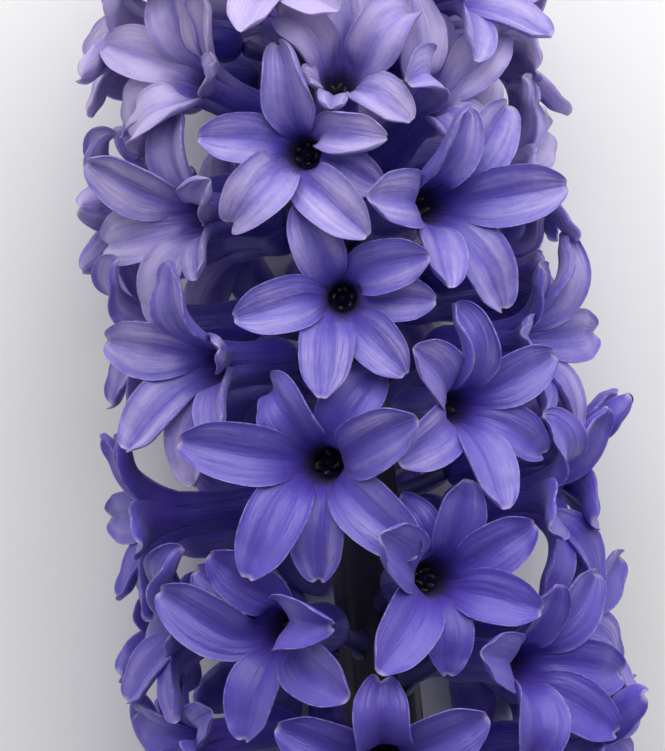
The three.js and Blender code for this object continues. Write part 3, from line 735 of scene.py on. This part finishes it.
def add_pedicel(skin, floret, look):
    """A floret's own stalk, a flared tube drawn together at both hidden ends, in a bract's axil."""
    top = STALK_PROFILE[-1][0]
    foot = min(floret.base[1], top) - PEDICEL_RISE
    start = np.array([0, foot, AXIS_HEIGHT]) + floret.radial * stalk_radius(foot) * PEDICEL_ROOT
    end = floret.base + floret.axis * PEDICEL_SINK
    share = np.linspace(0, 1, PEDICEL_RINGS)[:, None]
    path = mix(start, end, share) - STALK_AXIS * look.pedicel_sag * 4 * share * (1 - share)
    heading = unit(end - start)
    up = unit(floret.up - heading * floret.up.dot(heading))
    flare = 1 + FOOT_FLARE * (1 - share) ** 2 + HEAD_FLARE * share**4
    radii = PEDICEL_RADIUS * floret.size * flare
    radii[0] = radii[-1] = 0
    turn = np.linspace(0, 2 * np.pi, PEDICEL_SIDES, endpoint=False)
    rings = (path[:, None] + (radii * np.cos(turn))[..., None] * up
             + (radii * np.sin(turn))[..., None] * np.cross(up, heading))
    mood = np.array([0, floret.height / top, 1])
    skin.grid(rings, share[..., None] * ALONG_ONLY, mood, STALK_SKIN, closed=True)
    bract = np.array([0, foot - BRACT_DROP, AXIS_HEIGHT])
    bract += floret.radial * (stalk_radius(foot) + BRACT_STAND)
    blob(skin, bract, unit(floret.radial + STALK_AXIS * BRACT_SLANT) * look.bract_length / 2,
         unit(np.cross(floret.radial, STALK_AXIS)) * BRACT_HALF_WIDTH,
         STALK_AXIS * BRACT_HALF_THICKNESS, STALK_SKIN, mood)


def build_stalk(florets, look, materials):
    """The stalk with the pedicels and bracts that grow from it."""
    skin = Skin()
    add_stalk_skin(skin, look)
    for floret in florets:
        add_pedicel(skin, floret, look)
    piece = skin.build("stalk", materials)
    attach(piece, "root")
    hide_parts("stem")


# ---- Finishes ------------------------------------------------------------------------------------

# How much each pattern of a petal makes it paler, and the sum from which it is pale. The height's
# weight is painted light, the upper florets paler and the lower ones deeper, and the pads' weight
# is a painted highlight on the raised pads; the other patterns are the petals' own tone.
PALER_BY = {"height": 0.6, "clouds": 0.45, "along": 0.16, "pads": 0.2, "shade": 0.09,
            "lobe_shade": 0.15, "mottle": 0.15, "streaks": 0.55, "fine": 0.15, "veins": -0.03}
PALE_FROM = 0.89

# How much each pattern raises the petal's surface.
RAISED_BY = {"veins": 0.12, "grain": 0.15, "mottle": 0.4, "streaks": 2.2, "fine": 0.3}

# How strongly each part of the petal takes its colour, at most. The throat's is the petal's own
# deep violet darkened into painted shade, the rim's a painted highlight, and the deep colour is
# painted shade on the lower florets; the others are the petal's own.
TINTS = {"deep": 0.6, "midrib inside": 0.26, "midrib outside": 0.5, "root": 0.55, "rim": 0.45,
         "tip": 0.65, "tube": 0.85, "throat": 0.95}
THROAT_EDGE = 0.115                    # moves the edge of the throat's dark colour and painted shade up the lobes
STREAKS_ACROSS, STREAKS_ALONG = 3.4, 1.3
LOBES_APART, FACES_APART = 9, 5        # shift the streaks from lobe to lobe and from face to face
VEINS_ACROSS = 24                      # in radians, from the midrib to a margin
VEIN_WANDER = 7                        # in radians, by the clouds
PADS_MIDDLE, PADS_BREADTH = 0.55, 0.3  # as shares of the half-width
ROUGHNESS_SPREAD = 0.14


def weighted(patterns, weights):
    """The sum of the patterns that have a weight, each times its own."""
    return reduce(operator.add, (patterns[name] * weight for name, weight in weights.items()))


def linear(colour):
    """A colour as the screen shows it, turned into linear light, with full alpha."""
    return (*[c / 12.92 if c <= 0.04045 else ((c + 0.055) / 1.055) ** 2.4 for c in colour], 1.0)


class Wire:
    """A number in a material. Sums and products of wires add the Math nodes that work them out."""

    def __init__(self, finish, socket):
        self.finish, self.socket = finish, socket

    def math(self, operation, *values):
        inputs = dict(enumerate([self, *values]))
        return self.finish.add("ShaderNodeMath", {"operation": operation}, inputs)

    def __add__(self, other):
        return self.math("ADD", other)

    def __sub__(self, other):
        return self.math("SUBTRACT", other)

    def __rsub__(self, other):
        return (self * -1) + other

    def __mul__(self, other):
        return self.math("MULTIPLY", other)

    def __pow__(self, other):
        return self.math("POWER", other)

    __radd__, __rmul__ = __add__, __mul__

    def size(self):
        return self.math("ABSOLUTE")

    def sine(self):
        return self.math("SINE")

    def bell(self, width):
        """1 where the value is 0, falling away to both sides."""
        return ((self * (1 / width)) ** 2 * -1).math("EXPONENT")

    def rise(self, low, high):
        """0 below low, 1 above high, and a smooth rise between."""
        limits = {"Value": self, "From Min": low, "From Max": high, "To Min": 0.0, "To Max": 1.0}
        return self.finish.add("ShaderNodeMapRange", {"interpolation_type": "SMOOTHSTEP"}, limits)

    def between(self, low, high):
        """From low where the value is 0 to high where it is 1."""
        return self * (high - low) + low


class Finish:
    """A material under construction, with one method that adds its nodes."""

    def __init__(self, name):
        self.material = bpy.data.materials.new(name)
        self.material.use_nodes = True
        self.tree = self.material.node_tree
        self.tree.nodes.clear()

    def add(self, kind, settings=None, inputs=None, output=None):
        """A node of a kind: its settings first, then the values or wires of its sockets, by name or
        by number. Gives the wire of the named output, or else of the first one."""
        node = self.tree.nodes.new(kind)
        for name, value in (settings or {}).items():
            setattr(node, name, value)
        for name, value in (inputs or {}).items():
            socket = node.inputs[name] if isinstance(name, int) else self.find(node.inputs, name)
            if isinstance(value, Wire):
                self.tree.links.new(value.socket, socket)
            else:
                socket.default_value = value
        shown = [socket for socket in node.outputs if socket.enabled]
        if shown:
            return Wire(self, self.find(shown, output) if output else shown[0])

    @staticmethod
    def find(sockets, name):
        return next(socket for socket in sockets if socket.enabled and socket.name == name)

    def attribute(self, name):
        """The three numbers that the mesh keeps at each point under a name."""
        vector = self.add("ShaderNodeAttribute", {"attribute_name": name}, output="Vector")
        first = self.add("ShaderNodeSeparateXYZ", None, {0: vector})
        return [Wire(self, socket) for socket in first.socket.node.outputs]

    def millimetres(self):
        """The place in the flower's own frame, in millimetres."""
        place = self.add("ShaderNodeTexCoord", output="Object")
        scaled = {"Vector": place, "Scale": 1 / MM}
        return self.add("ShaderNodeVectorMath", {"operation": "SCALE"}, scaled)

    def noise(self, place, scale, detail=2.0, roughness=0.5, distortion=0.0):
        """Noise between 0 and 1, whose scale is the number of its swells per unit of the place."""
        inputs = {"Vector": place, "Scale": scale, "Detail": detail, "Roughness": roughness,
                  "Distortion": distortion}
        return self.add("ShaderNodeTexNoise", None, inputs, output="Fac")

    def blend(self, share, first, second):
        """The first colour turned into the second by a share."""
        settings = {"data_type": "RGBA", "blend_type": "MIX", "clamp_factor": True}
        return self.add("ShaderNodeMix", settings, {"Factor": share, "A": first, "B": second})

    def bump(self, height, distance):
        """A relief whose height counts for a distance in millimetres."""
        relief = {"Height": height, "Distance": distance * MM, "Strength": 1.0}
        return self.add("ShaderNodeBump", None, relief)

    def finish(self, **sockets):
        """Adds the surface shader, with its sockets by name, and the output."""
        inputs = {name.replace("_", " "): value for name, value in sockets.items()}
        surface = self.add("ShaderNodeBsdfPrincipled", None, inputs)
        self.add("ShaderNodeOutputMaterial", None, {"Surface": surface})
        return self.material


def petal_patterns(finish, along, across, outer, shade, lobe_shade):
    """A petal's patterns by name: soft clouds and mottles, the grain of its cells, streaks and fine
    lines that run lengthwise, veins, and the pads beside the midrib."""
    place = finish.millimetres()
    reach = across.size()
    lengthwise = finish.add("ShaderNodeCombineXYZ", None, {
        "X": across * STREAKS_ACROSS + lobe_shade * LOBES_APART,
        "Y": along * STREAKS_ALONG + shade * LOBES_APART,
        "Z": outer * FACES_APART})
    clouds = finish.noise(place, scale=0.16, detail=3.0)
    lines = (across * VEINS_ACROSS + clouds * VEIN_WANDER).sine() * 0.5 + 0.5
    return {
        "clouds": clouds,
        "mottle": finish.noise(place, scale=1.1, detail=3.0),
        "grain": finish.noise(place, scale=6.0),
        "streaks": finish.noise(lengthwise, scale=0.85, detail=3.0, roughness=0.55, distortion=0.4),
        "fine": finish.noise(lengthwise, scale=3.3),
        "veins": lines * reach.rise(0.1, 0.3),
        "pads": (reach - PADS_MIDDLE).bell(PADS_BREADTH) * along.rise(0.05, 0.5),
    }


def petal_finish(look):
    """Fleshy violet petals: darker along the midrib, deep violet in the throat darkened into painted
    shade, lilac with painted highlights on the two pads and the margins, and paler high up on the
    spike and deeper low down as painted light; with streaks, fine veins and the grain of their
    surface cells."""
    finish = Finish("petal")
    along, across, outer = finish.attribute("place")
    shade, height, lobe_shade = finish.attribute("mood")
    patterns = petal_patterns(finish, along, across, outer, shade, lobe_shade)
    mottle, grain = patterns["mottle"], patterns["grain"]
    deep, body, pale, margin, tube, throat = (linear(colour) for colour in (
        look.deep_colour, look.body_colour, look.pale_colour, look.margin_colour, look.tube_colour,
        look.throat_and_shade_colour))

    # Painted light: the height makes the upper florets paler and the lower ones deeper, and the pads
    # are painted paler as highlights.
    patterns |= {"height": height.rise(0.15, 0.85), "along": along, "shade": shade,
                 "lobe_shade": lobe_shade}
    paleness_and_light = weighted(patterns, PALER_BY) - PALE_FROM
    colour = finish.blend(paleness_and_light.rise(0.05, 0.75), body, pale)
    # Where the petal is least pale it turns deep violet: random tone, and on the lower florets
    # painted shade.
    colour = finish.blend((1 - paleness_and_light.rise(-0.35, 0.22)) * TINTS["deep"], colour, deep)
    midrib = across.bell(0.17) * (1 - along.rise(0.3, 1.1) * 0.6)
    midrib_tint = outer.between(TINTS["midrib inside"], TINTS["midrib outside"])
    colour = finish.blend(midrib * midrib_tint, colour, deep)
    colour = finish.blend((1 - along.rise(-0.05, 0.3)) * TINTS["root"], colour, deep)
    # A thin pale line along the margins, broken by the mottle: a painted highlight where the edges
    # catch the light.
    rim = across.size().rise(0.93, 1.0) * along.rise(0.12, 0.4) * mottle.rise(0.3, 0.7)
    colour = finish.blend(rim * TINTS["rim"], colour, margin)
    colour = finish.blend(along.rise(0.95, 1.0) * TINTS["tip"], colour, margin)
    colour = finish.blend((1 - along.rise(-0.5, -0.1)) * TINTS["tube"], colour, tube)
    # Deep in the tube the inner face turns nearly black: the petal's own deep violet, darkened into
    # painted shade.
    inside = 1 - outer.rise(0.4, 0.6)
    mouth = along + across.size() * 0.07 + mottle * 0.16 + shade * 0.01 - THROAT_EDGE
    colour = finish.blend(inside * (1 - mouth.rise(-0.2, 0.06)) * TINTS["throat"], colour, throat)

    relief = weighted({**patterns, "veins": patterns["veins"] * inside}, RAISED_BY)
    return finish.finish(
        Base_Color=colour,
        Roughness=(grain + mottle - 1) * ROUGHNESS_SPREAD + look.roughness,
        Normal=finish.bump(relief, look.relief),
        Subsurface_Weight=look.translucence,
        Subsurface_Radius=(0.55, 0.4, 1.0),
        Subsurface_Scale=look.translucence_depth * MM,
        Sheen_Weight=look.sheen,
        Sheen_Roughness=0.45,
        Sheen_Tint=margin,
        Specular_IOR_Level=look.gloss)


def anther_finish(look):
    """Dusty olive anthers with painted shade in the furrow and at the foot."""
    finish = Finish("anther")
    along, wide, _ = finish.attribute("place")
    # The throat's dark colour, painted as shade in the anther's furrow and at its foot, deep in the
    # tube.
    shadow = linear(look.throat_and_shade_colour)
    dust = finish.noise(finish.millimetres(), scale=9.0, detail=3.0)
    furrow = wide.bell(FURROW_WIDTH) * 0.7
    pollen = dust.rise(0.45, 0.7) * 0.5
    foot = (1 - along.rise(-1.0, 0.6)) * 0.5
    colour = finish.blend(furrow, linear(look.anther_colour), shadow)
    colour = finish.blend(pollen, colour, linear(look.pollen_colour))
    colour = finish.blend(foot, colour, shadow)
    return finish.finish(Base_Color=colour, Roughness=dust.between(0.6, 0.8),
                         Normal=finish.bump(dust, 0.08))


def pistil_finish(look):
    """The ovary's top and the stigma: violet darkened nearly to black as painted shade, and moist.
    """
    finish = Finish("pistil")
    grain = finish.noise(finish.millimetres(), scale=5.0)
    lighter = grain.rise(0.4, 0.8) * 0.6
    colour = finish.blend(lighter, linear(look.pistil_and_shade_colour), linear(look.throat_and_shade_colour))
    return finish.finish(Base_Color=colour, Roughness=grain.between(0.25, 0.45),
                         Normal=finish.bump(grain, 0.06))


def stalk_finish(look):
    """Smooth fleshy skin: green towards the cut end, flushed with dark purple up into the spike,
    where it is darkened nearly to black as painted shade among the florets.
    """
    finish = Finish("stalk")
    along, _, _ = finish.attribute("place")
    _, _, pedicel = finish.attribute("mood")
    place = finish.millimetres()
    clouds = finish.noise(place, scale=0.12, detail=4.0, roughness=0.6)
    drawn_out = finish.add("ShaderNodeVectorMath", {"operation": "MULTIPLY"},
                           {0: place, 1: (1.5, 0.018, 1.5)})
    fibres = finish.noise(drawn_out, scale=1.0, detail=3.0)
    grain = finish.noise(place, scale=6.0)
    paler = fibres.rise(0.25, 0.85) * 0.45 + clouds * 0.4
    # The purple flush up into the spike: the skin's own purple, darkened nearly to black as painted
    # shade among the florets.
    flush_and_shade = (along + clouds * 0.3 - 0.15).rise(look.flush_start, look.flush_end)
    waxy = clouds.rise(0.45, 0.75) * 0.3
    colour = finish.blend(paler, linear(look.green), linear(look.pale_green))
    colour = finish.blend(flush_and_shade, colour, linear(look.purple))
    colour = finish.blend(waxy, colour, linear(look.bloom))
    colour = finish.blend(pedicel * 0.65, colour, linear(look.pedicel_colour))
    return finish.finish(
        Base_Color=colour,
        Roughness=grain * 0.15 + clouds * 0.15 + 0.3,
        Normal=finish.bump(fibres * 0.25 + grain * 0.1, 0.12),
        Subsurface_Weight=0.08,
        Subsurface_Radius=(0.5, 1.0, 0.4),
        Subsurface_Scale=1.0 * MM,
        Specular_IOR_Level=0.45)


def cut_finish(look):
    """The cut face: pale moist pith with darker spots, and a ring of bundles under a green rind."""
    finish = Finish("cut_face")
    radius, _, _ = finish.attribute("place")
    place = finish.millimetres()
    green = linear(look.green)
    cells = finish.add("ShaderNodeTexVoronoi", {"feature": "F1"}, {"Vector": place, "Scale": 1.1},
                       output="Distance")
    moist = finish.noise(place, scale=3.5, detail=3.0)
    bundles = (1 - cells.rise(0.12, 0.34)) * (radius - 0.66).bell(0.2)
    rind = radius.rise(0.9, 1.0) * 0.8
    darker = moist.rise(0.55, 0.8) * 0.3
    colour = finish.blend(radius.rise(0.25, 0.95), linear(look.pith), linear(look.pale_green))
    colour = finish.blend(bundles * 0.7, colour, green)
    colour = finish.blend(rind, colour, green)
    colour = finish.blend(darker, colour, linear(look.pedicel_colour))
    return finish.finish(
        Base_Color=colour,
        Roughness=moist.between(0.2, 0.45),
        Normal=finish.bump(moist * 0.5 - bundles, 0.2),
        Subsurface_Weight=0.15,
        Subsurface_Radius=(0.8, 1.0, 0.5),
        Subsurface_Scale=1.5 * MM)


def surface_finish(look):
    """The studio surface: matt and pale, with a breath of unevenness."""
    finish = Finish("studio_surface")
    clouds = finish.noise(finish.millimetres(), scale=0.006, detail=3.0)
    tone = linear(look.surface_colour)
    dimmer = (*[part * 0.95 for part in tone[:3]], 1.0)
    return finish.finish(Base_Color=finish.blend(clouds, tone, dimmer), Roughness=0.85)


# ---- Settings ------------------------------------------------------------------------------------

def amount(name, description, default):
    return FloatProperty(name=name, description=description, default=default, min=0.0)


def colour(name, description, red, green, blue):
    return FloatVectorProperty(name=name, description=description, size=3, subtype="COLOR_GAMMA",
                               default=(red / 255, green / 255, blue / 255), min=0.0, max=1.0)


class HyacinthFloretSettings(bpy.types.PropertyGroup):
    """Sizes in millimetres and colours of the florets."""

    pads: amount("Pads", "Swelling on both sides of the midrib, as a share of the half-width", 0.085)
    groove: amount("Groove", "Depth of the groove along the midrib, in millimetres", 0.18)
    keel: amount("Keel", "Swelling along the back of the midrib, as a share of the thickness", 0.18)
    hood: amount("Hood", "How much steeper the margins rise at the tip, in radians", 0.85)
    hook: amount("Hook", "Rise of the tip towards the inner face, in millimetres", 0.6)
    fold: amount("Fold", "How much steeper the most folded lobes' channels are, in radians", 1.2)
    arch: amount("Arch", "How much further a lobe's tip rolls back at most, in degrees", 100.0)
    bow: amount("Bow", "How far a lobe's tip turns aside at most, in degrees", 22.0)
    wave: amount("Wave", "How far the margins' slope waves, in radians", 0.55)
    waves: amount("Waves", "Number of waves along a margin", 1.4)
    roll: amount("Roll", "How far a margin rolls back at most, in radians", 1.1)
    lopsided: amount("Lopsided", "How unlike the two margins' channels are", 0.4)
    fullness: amount("Fullness", "Share by which the fullest lobes are wider than their solids", 0.1)
    twist: amount("Twist", "Largest twist of a lobe by its tip, in degrees", 28.0)
    surface_gap: amount("Surface gap", "Least height of a lobe above the surface, in mm", 0.02)
    stamen_ring: amount("Stamen ring", "Distance of the anthers from the floret's axis", 1.25)
    stamen_depth: amount("Stamen depth", "Depth of the anthers' middles behind the throat", 3.4)
    stamen_scatter: amount("Stamen scatter", "How far an anther stands aside, in degrees", 22.0)
    anther_length: amount("Anther length", "Length of an anther in millimetres", 2.4)
    anther_width: amount("Anther width", "Width of an anther in millimetres", 0.62)
    roughness: amount("Roughness", "Mean roughness of the petals", 0.4)
    relief: amount("Relief", "Height of the veins and surface cells in millimetres", 0.14)
    translucence: amount("Translucence", "Share of light that scatters in the flesh", 0.25)
    translucence_depth: amount("Translucence depth", "How far light scatters, in millimetres", 1.3)
    sheen: amount("Sheen", "Soft sheen of the petals' surface cells", 0.2)
    gloss: amount("Gloss", "Specular level of the petals", 0.5)
    # Deep colour: also where a petal is least pale, which on the lower florets is painted shade.
    deep_colour: colour("Deep colour", "Round the throat and along the midrib", 74, 51, 170)
    body_colour: colour("Body colour", "Main colour of the lobes", 104, 91, 184)
    # Pale colour: the petals' own paler tone, and painted light on the upper florets and on the
    # pads.
    pale_colour: colour("Pale colour", "Upper florets, and between the veins", 184, 171, 216)
    # Margin colour: the tips' own pale colour and the sheen's tint, and a painted highlight along
    # the margins.
    margin_colour: colour("Margin colour", "Margins and tips", 202, 192, 226)
    tube_colour: colour("Tube colour", "Outside of the tube", 46, 34, 152)
    # Throat colour: the tube's own violet inside, darkened into painted shade; also the anthers'
    # painted shade.
    throat_and_shade_colour: colour("Throat colour", "Inside of the tube", 52, 42, 98)
    # Pistil colour: violet darkened nearly to black as painted shade deep in the throat.
    pistil_and_shade_colour: colour("Pistil colour", "Pistil", 28, 22, 58)
    anther_colour: colour("Anther colour", "Anthers", 104, 102, 66)
    pollen_colour: colour("Pollen colour", "Pollen on the anthers", 132, 126, 84)


class HyacinthStalkSettings(bpy.types.PropertyGroup):
    """Sizes in millimetres and colours of the stalk."""

    sides: IntProperty(name="Sides", description="Sides of the stalk's mesh", default=48, min=12)
    ring_spacing: amount("Ring spacing", "Distance between the rings of the stalk's mesh", 2.5)
    ripple: amount("Ripple", "Unevenness of the stalk's skin in millimetres", 0.1)
    cut_rings: IntProperty(name="Cut rings", description="Rings of points on the cut face",
                           default=14, min=3)
    cut_dome: amount("Cut dome", "Hollow of the cut face in millimetres", 0.2)
    pedicel_sag: amount("Pedicel sag", "Bow of a pedicel towards the cut end in millimetres", 0.5)
    bract_length: amount("Bract length", "Length of the bract under each pedicel", 3.0)
    flush_start: amount("Flush start", "Share of the stalk's length where its purple starts", 0.12)
    flush_end: amount("Flush end", "Share of the stalk's length where its purple is full", 0.42)
    green: colour("Green", "Skin near the cut end", 82, 112, 54)
    pale_green: colour("Pale green", "Streaks in the skin", 126, 150, 84)
    # Purple: the skin's own purple, darkened nearly to black as painted shade among the florets.
    purple: colour("Purple", "Skin among the florets", 22, 15, 34)
    bloom: colour("Bloom", "Waxy bloom on the skin", 56, 50, 84)
    pedicel_colour: colour("Pedicel colour", "Pedicels and bracts", 62, 52, 128)
    pith: colour("Pith", "Middle of the cut face", 206, 214, 168)


class HyacinthStageSettings(bpy.types.PropertyGroup):
    """Camera, light and surface."""

    view_length: amount("View length", "Length of the stalk's plane in the view, in mm", 105.14)
    camera_distance: amount("Camera distance", "From the camera to the stalk's plane in mm", 600.0)
    camera_across: FloatProperty(name="Camera across", description="Camera beside the stalk, in mm",
                                 default=-2.37)
    camera_along: amount("Camera along", "Camera's distance from the cut end, in mm", 155.24)
    camera_roll: FloatProperty(name="Camera roll", description="Turn of the picture",
                               subtype="ANGLE", default=math.radians(-5.7))
    key_power: FloatProperty(name="Key power", description="Soft sky light", default=7.5,
                             unit="POWER")
    fill_power: FloatProperty(name="Fill power", description="Weak light from either side",
                              default=0.2, unit="POWER")
    ambient: amount("Ambient", "Strength of the light from all round", 0.17)
    surface_colour: colour("Surface colour", "The pale surface", 248, 248, 245)


# ---- Operators -----------------------------------------------------------------------------------

# The stage: lights in plant millimetres, and the surface and the camera's range in metres.
KEY_PLACE = (90, 620, 440)
KEY_SIZE = 900
FILL_PLACES = {"fill_right": (330, 120, 170), "fill_left": (-330, 120, 170)}
FILL_SIZE = 300
SKY_COLOUR = (0.88, 0.88, 1.0, 1.0)
SURFACE_SIZE = 4.0
CAMERA_RANGE = (0.01, 10)


class HYACINTH_OT_florets(bpy.types.Operator):
    """Builds the florets, each in the place and with the lobes of its solid"""

    bl_idname = "hyacinth.florets"
    bl_label = "Build florets"

    def execute(self, context):
        look = context.scene.hyacinth_florets
        materials = [petal_finish(look), anther_finish(look), pistil_finish(look)]
        crowd = Crowd()
        for number, floret in enumerate(place_florets(), 1):
            build_floret(floret, number, crowd, look, materials)
        return {"FINISHED"}


class HYACINTH_OT_stalk(bpy.types.Operator):
    """Builds the stalk with its cut face, the pedicels and their bracts"""

    bl_idname = "hyacinth.stalk"
    bl_label = "Build stalk"

    def execute(self, context):
        look = context.scene.hyacinth_stalk
        build_stalk(place_florets(), look, [stalk_finish(look), cut_finish(look)])
        return {"FINISHED"}


class HYACINTH_OT_stage(bpy.types.Operator):
    """Sets the surface, the soft lights and the camera that looks down on the flower"""

    bl_idname = "hyacinth.stage"
    bl_label = "Set the stage"

    def execute(self, context):
        look = context.scene.hyacinth_stage
        self.add_surface(look)
        self.add_light("key", KEY_PLACE, KEY_SIZE, look.key_power, look)
        for name, place in FILL_PLACES.items():
            self.add_light(name, place, FILL_SIZE, look.fill_power, look)
        self.add_camera(context.scene, look)
        world = bpy.data.worlds.new("studio")
        world.use_nodes = True
        background = world.node_tree.nodes["Background"]
        background.inputs["Color"].default_value = SKY_COLOUR
        background.inputs["Strength"].default_value = look.ambient
        context.scene.world = world
        context.scene.view_settings.view_transform = "Standard"
        return {"FINISHED"}

    @staticmethod
    def add_surface(look):
        mesh = bpy.data.meshes.new("studio_surface")
        half = SURFACE_SIZE / 2
        corners = [(-half, -half, 0), (half, -half, 0), (half, half, 0), (-half, half, 0)]
        mesh.from_pydata(corners, [], [(0, 1, 2, 3)])
        mesh.materials.append(surface_finish(look))
        surface = bpy.data.objects.new("studio_surface", mesh)
        bpy.context.scene.collection.objects.link(surface)

    @staticmethod
    def add_light(name, place, size, power, look):
        """A square soft light at a place in plant millimetres, aimed at the middle of the view."""
        lamp = bpy.data.lights.new(name, "AREA")
        lamp.size = size * MM
        lamp.energy = power
        light = bpy.data.objects.new(name, lamp)
        place = in_frame(place)
        target = in_frame((look.camera_across, look.camera_along, AXIS_HEIGHT))
        light.location = place
        light.rotation_euler = (target - place).to_track_quat("-Z", "Y").to_euler()
        bpy.context.scene.collection.objects.link(light)

    @staticmethod
    def add_camera(scene, look):
        lens = bpy.data.cameras.new("camera")
        lens.lens = lens.sensor_width * look.camera_distance / look.view_length
        lens.clip_start, lens.clip_end = CAMERA_RANGE
        camera = bpy.data.objects.new("camera", lens)
        camera.location = in_frame(
            (look.camera_across, look.camera_along, AXIS_HEIGHT + look.camera_distance))
        camera.rotation_euler = (0, 0, look.camera_roll)
        scene.collection.objects.link(camera)
        scene.camera = camera


class HYACINTH_PT_panel(bpy.types.Panel):
    """Lists the flower's operators and settings in the sidebar"""

    bl_idname = "HYACINTH_PT_panel"
    bl_label = "Hyacinth"
    bl_space_type = "VIEW_3D"
    bl_region_type = "UI"
    bl_category = "Hyacinth"

    def draw(self, context):
        for operator, group in (("hyacinth.florets", "hyacinth_florets"),
                                ("hyacinth.stalk", "hyacinth_stalk"),
                                ("hyacinth.stage", "hyacinth_stage")):
            box = self.layout.box()
            box.operator(operator)
            settings = getattr(context.scene, group)
            for name in settings.__annotations__:
                box.prop(settings, name)


CLASSES = (HyacinthFloretSettings, HyacinthStalkSettings, HyacinthStageSettings, HYACINTH_OT_florets,
           HYACINTH_OT_stalk, HYACINTH_OT_stage, HYACINTH_PT_panel)


def register():
    for each in CLASSES:
        bpy.utils.register_class(each)
    bpy.types.Scene.hyacinth_florets = PointerProperty(type=HyacinthFloretSettings)
    bpy.types.Scene.hyacinth_stalk = PointerProperty(type=HyacinthStalkSettings)
    bpy.types.Scene.hyacinth_stage = PointerProperty(type=HyacinthStageSettings)


def unregister():
    del bpy.types.Scene.hyacinth_stage
    del bpy.types.Scene.hyacinth_stalk
    del bpy.types.Scene.hyacinth_florets
    for each in reversed(CLASSES):
        bpy.utils.unregister_class(each)


def main():
    register()
    bpy.ops.hyacinth.florets()
    bpy.ops.hyacinth.stalk()
    bpy.ops.hyacinth.stage()


if __name__ == "__main__":
    main()
